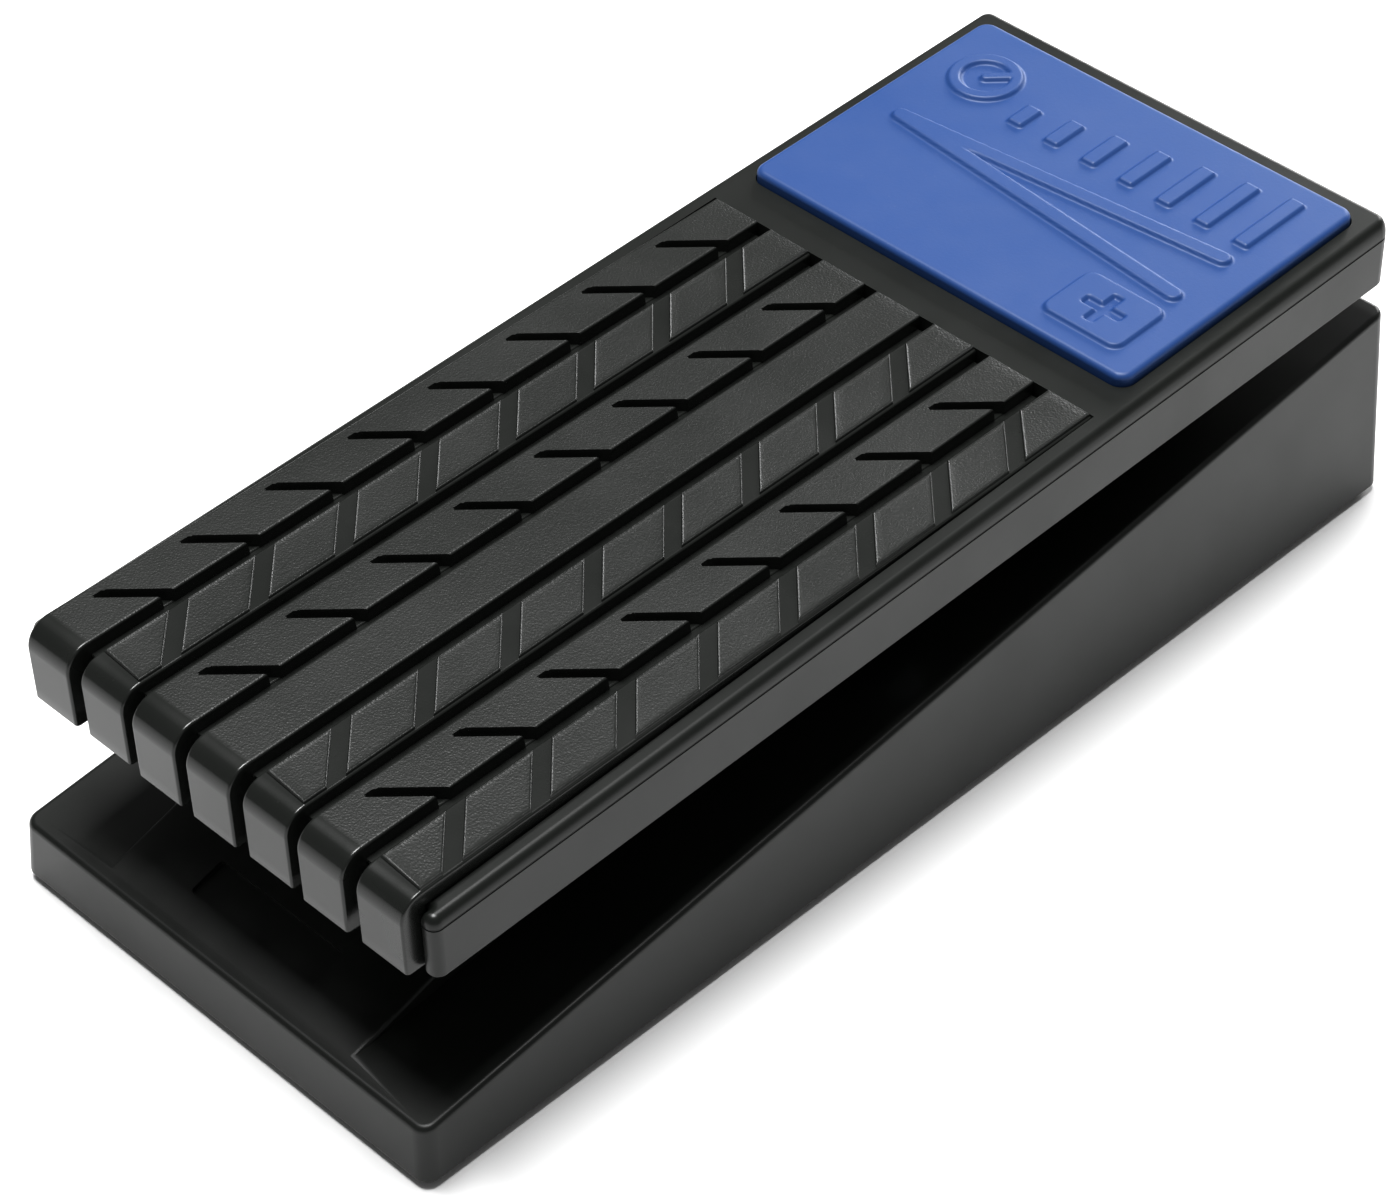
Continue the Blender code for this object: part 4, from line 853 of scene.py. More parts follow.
STEEL = Metal("plate_steel", (0.52, 0.53, 0.55), (0.70, 0.70, 0.71), 0.34)
SCREW_STEEL = Metal("screw_steel", (0.46, 0.47, 0.49), (0.75, 0.75, 0.75), 0.28, line_scale=2600.0)
AXLE_STEEL = Metal("axle_steel", (0.56, 0.57, 0.58), (0.75, 0.75, 0.75), 0.22, line_scale=3200.0)
BRASS = Metal("bush_brass", (0.68, 0.48, 0.22), (0.82, 0.66, 0.38), 0.32, line_scale=2600.0)
NICKEL = Metal("nut_nickel", (0.66, 0.64, 0.60), (0.85, 0.84, 0.80), 0.20, lines=0.002 * MM)
BOARD = Laminate("board_brown", (0.30, 0.17, 0.07), (0.20, 0.105, 0.04), 0.42)
FLOOR_WHITE = Paper("floor_white", (0.92, 0.92, 0.92))

FINISHES = (CASE_BLACK, TREAD_BLACK, BADGE_BLUE, RUBBER, JACK_BLACK, TRIM_GREY, NYLON, LEAD_COVER, STEEL,
            SCREW_STEEL, AXLE_STEEL, BRASS, NICKEL, BOARD)
MATERIALS = {finish.name: finish.material() for finish in FINISHES}


def dress(piece: bpy.types.Object, finish: Plastic | Metal | Laminate, body: str, *nodes: str) -> None:
    """Give a new piece its finish and its body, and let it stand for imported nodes.

    Args:
        piece: the new piece.
        finish: its finish, which is named as the record's slot is.
        body: the body that it rides on.
        nodes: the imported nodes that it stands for.
    """
    piece.data.materials.clear()
    piece.data.materials.append(MATERIALS[finish.name])
    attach(piece, body)
    if nodes:
        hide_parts(*nodes)
    LOG.info("%s on %s, %d points", piece.name, body, len(piece.data.vertices))


# ---------------------------------------------------------------- sub-assemblies


@dataclass(frozen=True)
class Case:
    """The moulded case: leaning walls, a deck that rises to the toe, and the housing over the works."""

    heel_height: float = 12.7 * MM
    toe_height: float = 44.5 * MM
    wall: float = 2.6 * MM
    draft: float = 0.055
    corner: float = 3.0 * MM
    rim: float = 1.1 * MM
    foot_edge: float = 0.5 * MM
    housing_half: float = 33.0 * MM
    housing_top: float = 47.7 * MM
    housing_edge: float = 0.8 * MM
    housing_crest: float = 6.0 * MM
    housing_toe_edge: float = 1.5 * MM
    housing_root: float = 5.0 * MM
    housing_overlap: float = 2.0 * MM
    room_setback: float = 12.0 * MM
    ramp_angle: float = math.radians(18)
    ramp_setback: float = 3.8 * MM
    housing_toe_setback: float = 27.0 * MM
    label_half: tuple = (16.5 * MM, 4.0 * MM)
    label_setback: float = 9.2 * MM
    label_depth: float = 1.0 * MM
    label_corner: float = 0.8 * MM
    panel_depth: float = 0.6 * MM
    panel_margin: float = 2.5 * MM
    panel_half_height: float = 12.5 * MM
    panel_corner: float = 1.5 * MM
    slot_half: float = 4.0 * MM
    slot_room: float = 4.0 * MM
    bush_hole: float = 4.8 * MM
    jack_hole: float = 5.0 * MM
    trim_hole: float = 3.8 * MM
    jack_nodes: tuple = ("input_jack_left", "input_jack_right", "output_jack_left", "output_jack_right")

    @property
    def half_x(self) -> float:
        """Half the width of the case."""
        return (CASE_HIGH.x - CASE_LOW.x) / 2

    @property
    def half_y(self) -> float:
        """Half the length of the case."""
        return (CASE_HIGH.y - CASE_LOW.y) / 2

    @property
    def connector_height(self) -> float:
        """Height of the jacks and the trimmer above the case's bottom edge."""
        return middle_of("trim_knob").z - CASE_LOW.z

    @property
    def panel_y(self) -> float:
        """Where the sunk jack panel stands."""
        return self.half_y - self.draft * (self.connector_height + self.panel_half_height) - self.panel_depth

    def deck(self, y: Array | float) -> Array | float:
        """Height of the deck: a straight line from the heel wall's top to the toe wall's."""
        heel = self.half_y - self.draft * self.heel_height
        toe = self.half_y - self.draft * self.toe_height
        return self.heel_height + (y + heel) / (heel + toe) * (self.toe_height - self.heel_height)

    def ramp(self, y: float) -> float:
        """Height of the ramp: a straight line at its own angle from where it meets the deck."""
        start = self.ramp_setback - self.half_y
        return self.deck(start) + (y - start) * math.tan(self.ramp_angle)

    def leaning(self, outline: Outline, inset: float, share: float, offset: float) -> Array:
        """One loop round the walls.

        Its height is a share of the deck's height plus an offset, and each point moves towards the middle by
        the draft times its height. Height and place depend on each other, so they are worked out in turns.

        Args:
            outline: the plan at the bottom edge.
            inset: how far the loop moves inwards besides.
            share: 1 for a loop that follows the deck, 0 for one that lies level.
            offset: height added to that.

        Returns:
            An array of (points, 3).
        """
        plan = outline.loop(inset)
        moved = plan
        for _ in range(4):
            height = share * self.deck(moved[:, 1]) + offset
            lean = self.draft * height[:, None] / np.array([self.half_x, self.half_y])
            moved = plan * (1 - lean)
        return level(moved, height)

    def walls(self, half_x: float, heel: float, toe: float, corner: float, profile: Array) -> Surface:
        """A closed body with leaning walls under the sloping deck.

        Args:
            half_x: half its width at the bottom.
            heel: its heel end at the bottom.
            toe: its toe end at the bottom.
            corner: radius of its upright corners.
            profile: (inset, share, offset) of each loop, from the bottom up, as leaning takes them.

        Returns:
            The surface.
        """
        body = Surface(BASE_FRAME)
        outline = rectangle(half_x, heel, toe, corner, 8)
        body.loft(np.stack([self.leaning(outline, inset, share, offset) for inset, share, offset in profile]))
        return body

    def shell_profile(self) -> Array:
        """(inset, share, offset) of the outer loops, from the bottom edge to the rounded rim."""
        points = block_profile(0, 1, self.foot_edge, self.rim)
        top = points[:, 1] > 0.5
        return np.stack([points[:, 0], top.astype(float), points[:, 1] - top], 1)

    def housing(self, sink: float, half: float, edge: float) -> Surface:
        """The raised housing as a block along X, or the room inside it.

        Args:
            sink: how far its ramp and top lie under the housing's own.
            half: half its width.
            edge: radius of its side edges.

        Returns:
            The surface.
        """
        top = self.housing_top - sink
        drop = sink / math.cos(self.ramp_angle)
        start = self.ramp_setback - self.half_y
        heel = start + self.room_setback if sink else start - self.housing_overlap
        crest = start + (top + drop - self.deck(start)) / math.tan(self.ramp_angle)
        toe = self.half_y - self.housing_toe_setback - sink
        low = -MM if sink else self.housing_root
        corners = ((heel, low), (toe, low), (toe, top), (crest, top), (heel, self.ramp(heel) - drop))
        body = Surface(BASE_FRAME)
        profile = block_profile(-half, half, edge, edge, 4)
        radii = (TINY, TINY, self.housing_toe_edge, self.housing_crest, TINY)
        body.block(Outline(corners, radii), profile, "X")
        return body

    def label(self) -> Surface:
        """The block that sinks the blank label into the ramp, with soft corners.

        Returns:
            The surface.
        """
        y = self.ramp_setback - self.half_y + self.label_setback
        tilt = Matrix.Translation((0, y, self.ramp(y))) @ Matrix.Rotation(self.ramp_angle, 4, "X")
        body = Surface(BASE_FRAME @ tilt)
        half_x, half_y = self.label_half
        body.box((-half_x, -half_y, -self.label_depth), (half_x, half_y, 2 * MM), self.label_corner)
        return body

    def openings(self) -> Surface:
        """The sunk jack panel, the sector's slot and the bush holes.

        Returns:
            The surface.
        """
        body = Surface(BASE_FRAME)
        side = self.half_x - self.draft * (self.connector_height + self.panel_half_height) - self.panel_margin
        low, high = (self.connector_height + way * self.panel_half_height for way in (-1, 1))
        plan = ((low, -side), (high, -side), (high, side), (low, side))
        profile = ((0, self.panel_y), (0, self.half_y + MM))
        body.block(Outline(plan, (self.panel_corner,) * 4), np.array(profile), "Y")
        sector_low, sector_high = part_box("sector_rack")
        low = (-self.slot_half, sector_low.y - MIDDLE_Y, self.housing_top - 2 * self.wall)
        high = (self.slot_half, sector_high.y - MIDDLE_Y + self.slot_room, self.housing_top + MM)
        body.box(low, high, MM)
        for side in (-1, 1):
            place = (side * self.housing_half, 0, PIVOT_HEIGHT)
            body.rod(self.bush_hole, place, 2 * self.wall, "X")
        return body

    def panel_holes(self) -> Surface:
        """The holes for the four jacks and the trimmer.

        Returns:
            The surface.
        """
        body = Surface(BASE_FRAME)
        for node in self.jack_nodes:
            place = (middle_of(node).x, self.panel_y, self.connector_height)
            body.rod(self.jack_hole, place, 2 * self.wall, "Y")
        body.rod(self.trim_hole, (0, self.panel_y, self.connector_height), 2 * self.wall, "Y")
        return body

    def build(self) -> None:
        """Carve the case from its blocks and dress it."""
        outer = self.walls(self.half_x, -self.half_y, self.half_y, self.corner, self.shell_profile())
        case = outer.build("case_shell")
        carve(case, self.housing(0, self.housing_half, self.housing_edge), Carving.JOIN)
        room = np.array([(0, 0, -MM), (0, 1, -self.wall)])
        toe = self.panel_y - self.wall
        cavity = self.walls(self.half_x - self.wall, self.wall - self.half_y, toe, 1.5 * MM, room)
        carve(case, cavity, Carving.CUT)
        carve(case, self.housing(self.wall, self.housing_half - self.wall, TINY), Carving.CUT)
        for cutter in (self.openings(), self.panel_holes(), self.label()):
            carve(case, cutter, Carving.CUT)
        shade(case.data, SHARP)
        dress(case, CASE_BLACK, "base", "base_case")


@dataclass(frozen=True)
class TreadleShell:
    """The rocking shell: a flat top with side rails, skirts with a parting groove, and lugs on the axle."""

    half_x: float = 52.7 * MM
    heel: float = -125.6 * MM
    toe: float = 128.9 * MM
    top: float = 22.1 * MM
    underside: float = 19.1 * MM
    bottom: float = 8.6 * MM
    wall: float = 2.5 * MM
    edge: float = 1.8 * MM
    heel_rise: float = 0.3 * MM
    toe_rise: float = 2.0 * MM
    corner: float = 3.0 * MM
    notch_half: float = 48.8 * MM
    mat_end: float = 43.95 * MM
    bed_drop: float = 2.2 * MM
    rail_corner: float = 1.5 * MM
    rail_end: float = 2.0 * MM
    notch_corner: float = 0.3 * MM
    skirt_edge: float = 0.4 * MM
    groove_drop: float = 2.2 * MM
    groove_half: float = 0.18 * MM
    groove_depth: float = 0.16 * MM
    lug_x: tuple = (35.3 * MM, 40.3 * MM)
    lug_root: float = 17.0 * MM
    lug_radius: float = 6.5 * MM
    lug_edge: float = 0.4 * MM
    rib_x: tuple = (2.3 * MM, 4.8 * MM)
    rib_y: tuple = (74.95 * MM, 83.95 * MM)
    rib_drop: float = 7.5 * MM
    axle_hole: float = 3.12 * MM

    def plan(self) -> Outline:
        """The plan, with the notch at the heel that the mat folds through.

        Returns:
            The outline, in the treadle frame.
        """
        half, notch, deep = self.half_x, self.notch_half, self.heel + self.wall
        corners = ((-half, self.heel), (-notch, self.heel), (-notch, deep), (notch, deep),
                   (notch, self.heel), (half, self.heel), (half, self.toe), (-half, self.toe))
        end, rail, inner = self.rail_end, self.rail_corner, self.notch_corner
        return Outline(corners, (end, rail, inner, inner, rail, end, self.corner, self.corner))

    def side(self) -> Array:
        """The skirt's profile, with its shallow parting groove.

        Returns:
            (inset, height) points from the bottom edge to the top.
        """
        points = block_profile(self.bottom, self.top, self.skirt_edge, self.edge)
        middle = self.top - self.groove_drop
        groove = [(0, middle - 2 * self.groove_half), (0, middle - self.groove_half),
                  (self.groove_depth, middle - 0.5 * self.groove_half),
                  (self.groove_depth, middle + 0.5 * self.groove_half),
                  (0, middle + self.groove_half), (0, middle + 2 * self.groove_half)]
        split = np.searchsorted(points[:, 1], middle)
        return np.insert(points, split, groove, axis=0)

    def outer(self) -> Surface:
        """The outer body: loops of the plan whose top rises from the heel to the toe.

        The rise grows evenly along the treadle. Points on the rounded edge take a share of it, from nothing
        at the edge's foot to all of it at the top, so the edge stretches with it.

        Returns:
            The surface.
        """
        loops = np.stack([level(self.plan().loop(inset), height) for inset, height in self.side()])
        share = np.clip((loops[..., 2] - self.top + self.edge) / self.edge, 0, 1)
        part = (loops[..., 1] - self.heel) / (self.toe - self.heel)
        loops[..., 2] += share * (self.heel_rise + part * (self.toe_rise - self.heel_rise))
        body = Surface(TREADLE_FRAME)
        body.loft(loops)
        return body

    def mat_bed(self) -> Surface:
        """The block that sinks the tread's bed into the top between the rails, deeper towards the toe.

        Returns:
            The surface.
        """
        heel, high = self.heel - MM, self.top + 4 * MM
        corners = ((heel, self.top), (self.mat_end, self.top - self.bed_drop),
                   (self.mat_end, high), (heel, high))
        body = Surface(TREADLE_FRAME)
        profile = np.array([(0, -self.notch_half), (0, self.notch_half)])
        body.block(Outline(corners, (TINY,) * 4), profile, "X")
        return body

    def fittings(self) -> Surface:
        """The two axle lugs and the two ribs that hold the toothed sector.

        Returns:
            The surface.
        """
        body = Surface(TREADLE_FRAME)
        reach, root, top = self.lug_radius, self.lug_root, self.underside + MM
        corners = ((-reach, -reach), (reach, -reach), (root, top), (-root, top))
        lug = Outline(corners, (0.9 * reach, 0.9 * reach, TINY, TINY), 8)
        low = self.underside - self.rib_drop
        for side in (-1, 1):
            near, far = sorted(side * x for x in self.lug_x)
            body.block(lug, block_profile(near, far, self.lug_edge, self.lug_edge, 3), "X")
            near, far = sorted(side * x for x in self.rib_x)
            body.box((near, self.rib_y[0], low), (far, self.rib_y[1], top), 0.5 * MM)
        return body

    def build(self, pocket: Surface) -> None:
        """Carve the shell and dress it.

        Args:
            pocket: the block that sinks the badge into the top.
        """
        shell = self.outer().build("treadle_body")
        hollow = Surface(TREADLE_FRAME)
        inner = self.half_x - self.wall
        hollow.box((-inner, self.heel + 2 * self.wall, self.bottom - MM),
                   (inner, self.toe - self.wall, self.underside), 2 * MM, 0.5 * MM)
        for cutter in (hollow, self.mat_bed(), pocket):
            carve(shell, cutter, Carving.CUT)
        carve(shell, self.fittings(), Carving.JOIN)
        bore = Surface(TREADLE_FRAME)
        bore.rod(self.axle_hole, (0, 0, 0), self.lug_x[1] + MM, "X")
        carve(shell, bore, Carving.CUT)
        shade(shell.data, SHARP)
        dress(shell, CASE_BLACK, "treadle", "treadle_shell")


class StripKind(Enum):
    """How a strip of the tread is patterned."""

    PLAIN = "plain"
    CUTS = "cuts"
    PADS = "pads"


@dataclass(frozen=True)
class TreadMat:
    """The tread: seven strips that run down the treadle and fold over its heel, standing on a thin web."""

    half_x: float = 48.5 * MM
    toe: float = 43.9 * MM
    heel: float = -129.1 * MM
    heel_inside: float = -123.4 * MM
    top: float = 26.1 * MM
    toe_drop: float = 2.4 * MM
    toe_edge: float = 0.15 * MM
    root: float = 22.6 * MM
    web: tuple = (22.4 * MM, 23.1 * MM)
    lip_bottom: float = 9.1 * MM
    bend: float = 5.0 * MM
    groove: float = 3.0 * MM
    edge: float = 0.5 * MM
    pitch: float = 20.0 * MM
    first_row: float = 15.3 * MM
    rows: int = 8
    cut_half: float = 0.95 * MM
    cut_depth: float = 2.7 * MM
    cut_margin: float = 2.5 * MM
    cut_wall: float = 0.16 * MM
    band_half: float = 2.2 * MM
    pad_height: float = 0.38 * MM
    pad_margin: float = 0.55 * MM
    pad_wall: float = 0.16 * MM
    pad_end_gap: float = 0.74 * MM
    bead_height: float = 0.14 * MM
    bead_width: float = 0.17 * MM
    bead_lines: tuple = (-0.5, 0, 0.5, 1.0, 1.6, 2.2, 2.9, 4.0)
    cut_lines: tuple = (-0.2, 0.2, 0.5, 0.8, 1.1, 1.5, 2.2)
    bead_centre: float = 1.6
    settle: float = 1.5 * MM
    grain_depth: float = 0.3 * MM
    kinds: tuple = (StripKind.CUTS, StripKind.PADS, StripKind.CUTS, StripKind.PLAIN,
                    StripKind.PADS, StripKind.CUTS, StripKind.PADS)

    @property
    def strip(self) -> float:
        """Width of a strip."""
        count = len(self.kinds)
        return (2 * self.half_x - (count - 1) * self.groove) / count

    @property
    def run(self) -> float:
        """Length of the strip's flat top."""
        return self.toe - self.heel - self.bend

    @property
    def length(self) -> float:
        """Length of the strip's path: the flat top, a quarter bend and the drop to the lip."""
        return self.run + self.bend * math.pi / 2 + self.top - self.bend - self.lip_bottom

    def path(self, far: Array) -> tuple[Array, Array]:
        """Places and inward directions along the strip's outer surface.

        The path climbs slightly from the toe, turns down round the heel by a quarter circle, and drops
        straight. The climb is so slight that the ways into the strip are those of a level path.

        Args:
            far: distance from the toe along the path.

        Returns:
            (Y, Z) points and (Y, Z) unit vectors that point into the strip.
        """
        turn = np.clip((far - self.run) / self.bend, 0, math.pi / 2)
        over = np.maximum(far - self.run - self.bend * math.pi / 2, 0)
        centre_y, centre_z = self.heel + self.bend, self.top - self.bend
        y = np.where(far < self.run, self.toe - far, centre_y - self.bend * np.sin(turn))
        climb = self.toe_drop * np.clip(1 - far / self.run, 0, 1)
        z = centre_z + self.bend * np.cos(turn) - over - climb
        return np.stack([y, z], -1), np.stack([np.sin(turn), -np.cos(turn)], -1)

    def slant(self, far: Array) -> Array:
        """How fully the rows slant: wholly along the pattern, and not at all at the two ends."""
        near_toe = smooth_step(far / (self.first_row - self.settle))
        last = self.first_row + (self.rows - 1) * self.pitch
        return near_toe * smooth_step((self.run + MM - far) / (self.run - last - self.settle))

    def row_lines(self, kind: StripKind) -> Array:
        """Places along the path of the grid's rows, close together where the pattern has its walls.

        Args:
            kind: the strip's pattern.

        Returns:
            The sorted distances from the toe along the path.
        """
        centres = self.first_row + self.pitch * np.arange(self.rows)
        if kind is StripKind.CUTS:
            half = self.cut_half * math.sqrt(2)
            wall = self.cut_wall * math.sqrt(2)
            offsets = np.array([0, half - 2.4 * wall, half - wall, half - wall / 2, half, half + wall])
        elif kind is StripKind.PADS:
            offsets = self.band_half + self.pad_wall * np.array([-1.2, *self.bead_lines])
        else:
            offsets = np.zeros(1)
        edges = centres[:, None] + np.concatenate([-offsets, offsets])[None, :]
        bend = self.run + self.bend * np.linspace(0, math.pi / 2, 12)
        ends = 1 - np.cos(np.linspace(0, math.pi / 2, 5))
        pad_end = self.run - self.pad_end_gap - self.pad_wall * np.array(self.bead_lines)
        toe, lip = self.toe_edge * ends, self.length - self.edge * ends
        return clustered(0, self.length, 3 * MM, edges, bend, toe, lip, pad_end)

    def columns(self, kind: StripKind) -> tuple[Array, Array]:
        """The section's columns, from the foot of the left wall over the top to the foot of the right.

        Args:
            kind: the strip's pattern.

        Returns:
            Distances from the strip's left edge, and how deep each column lies, from 0 at the outer surface
            to 1 at the strip's root.
        """
        round_edge = self.edge * (1 - np.cos(np.linspace(0, math.pi / 2, 5)))
        sides = np.concatenate([round_edge, [self.edge + EASE]])
        plain = np.linspace(2 * MM, self.strip - 2 * MM, 4)
        if kind is StripKind.CUTS:
            tip = self.cut_margin + self.cut_half * np.array(self.cut_lines)
            inner = np.concatenate([tip, np.linspace(self.cut_margin + 3 * MM, self.strip - MM, 4)])
        elif kind is StripKind.PADS:
            wall = self.pad_margin + self.pad_wall * np.array(self.bead_lines)
            inner = np.concatenate([wall, plain, self.strip - wall[::-1]])
        else:
            inner = plain
        across = np.unique(np.round(np.concatenate([sides, inner, self.strip - sides]), 7))
        deep = np.zeros_like(across)
        ends = np.array([1.0, 0.5])
        across = np.concatenate([[0, 0], across, [self.strip, self.strip]])
        return across, np.concatenate([ends, deep, ends[::-1]])

    def pattern(self, kind: StripKind, far: Array, across: Array) -> Array:
        """How deep the pattern lies under the outer surface.

        A cut is a slot whose depth falls off past a capsule's edge: the distance to a line that starts at
        the blind end and runs out over the right side. Pads stand in the rest of a strip, clear of its sides,
        with a fine bead along their edges, and the bands between them lie lower.

        Args:
            kind: the strip's pattern.
            far: distance from the toe along the path, in the slanting frame of the rows.
            across: distance from the strip's left edge.

        Returns:
            The depth of each point.
        """
        row = np.clip(np.round((far - self.first_row) / self.pitch), 0, self.rows - 1)
        offset = far - self.first_row - row * self.pitch
        if kind is StripKind.CUTS:
            start = self.cut_margin + self.cut_half / math.sqrt(2)
            past = np.maximum(start - across, 0) * math.sqrt(2)
            distance = np.hypot(offset / math.sqrt(2), past)
            return self.cut_depth * smooth_step((self.cut_half - distance) / self.cut_wall + 0.5)
        if kind is StripKind.PADS:
            side = np.minimum(across, self.strip - across) - self.pad_margin
            end = self.run - self.pad_end_gap - far
            inside = np.minimum(np.minimum(side, np.abs(offset) - self.band_half), end)
            past = (inside - self.bead_centre * self.pad_wall) / self.bead_width
            bead = self.bead_height * np.exp(-past ** 2)
            return self.pad_height * smooth_step(0.5 - inside / self.pad_wall) - bead
        return np.zeros(np.broadcast(far, across).shape)

    def strip_grid(self, number: int) -> tuple[Array, Array]:
        """The section of one strip carried along its path.

        Rows slant by 45 degrees: each point moves along the path by its distance from the strip's middle
        times the slant, so that the walls of cuts and bands follow the rows.

        Args:
            number: the strip, from 0 at the left.

        Returns:
            The points as (rows, columns, 3), and the grain of each.
        """
        kind = self.kinds[number]
        across, deep = self.columns(kind)
        far = self.row_lines(kind)[:, None]
        way = 1.0 if kind is StripKind.PADS else -1.0
        moved = far + way * (across - self.strip / 2) * self.slant(far)
        place, inward = self.path(moved)
        side = np.minimum(across, self.strip - across)
        depth = self.pattern(kind, far, across) + quarter_drop(side, self.edge)
        depth = depth + quarter_drop(far, self.toe_edge) + quarter_drop(self.length - far, self.edge)
        outer = place + inward * depth[..., None]
        low = self.root - self.toe_drop * np.clip(1 - moved / self.run, 0, 1)
        root = np.stack([np.maximum(place[..., 0], self.heel_inside), np.minimum(place[..., 1], low)], -1)
        points = outer + (root - outer) * deep[None, :, None]
        left = -self.half_x + number * (self.strip + self.groove)
        x = np.broadcast_to(left + across, depth.shape)
        fade = smooth_step((self.run - moved) / MM) * smooth_step(1.5 - depth / self.grain_depth)
        grain = np.where(deep > 0, 0.0, fade)
        return np.concatenate([x[..., None], points], -1), grain

    def build(self) -> None:
        """Build the strips and their web and dress them."""
        mat = Surface(TREADLE_FRAME)
        for number in range(len(self.kinds)):
            points, grain = self.strip_grid(number)
            mat.loft(points, grain)
        low, high = self.web
        drop, toe = self.toe_drop, self.toe - self.edge
        corners = ((self.heel_inside, low), (toe, low - drop), (toe, high - drop), (self.heel_inside, high))
        profile = np.array([(0, TINY - self.half_x), (0, self.half_x - TINY)])
        mat.block(Outline(corners, (TINY,) * 4), profile, "X")
        piece = mat.build("tread_strips", 40)
        dress(piece, TREAD_BLACK, "treadle", "tread_mat")


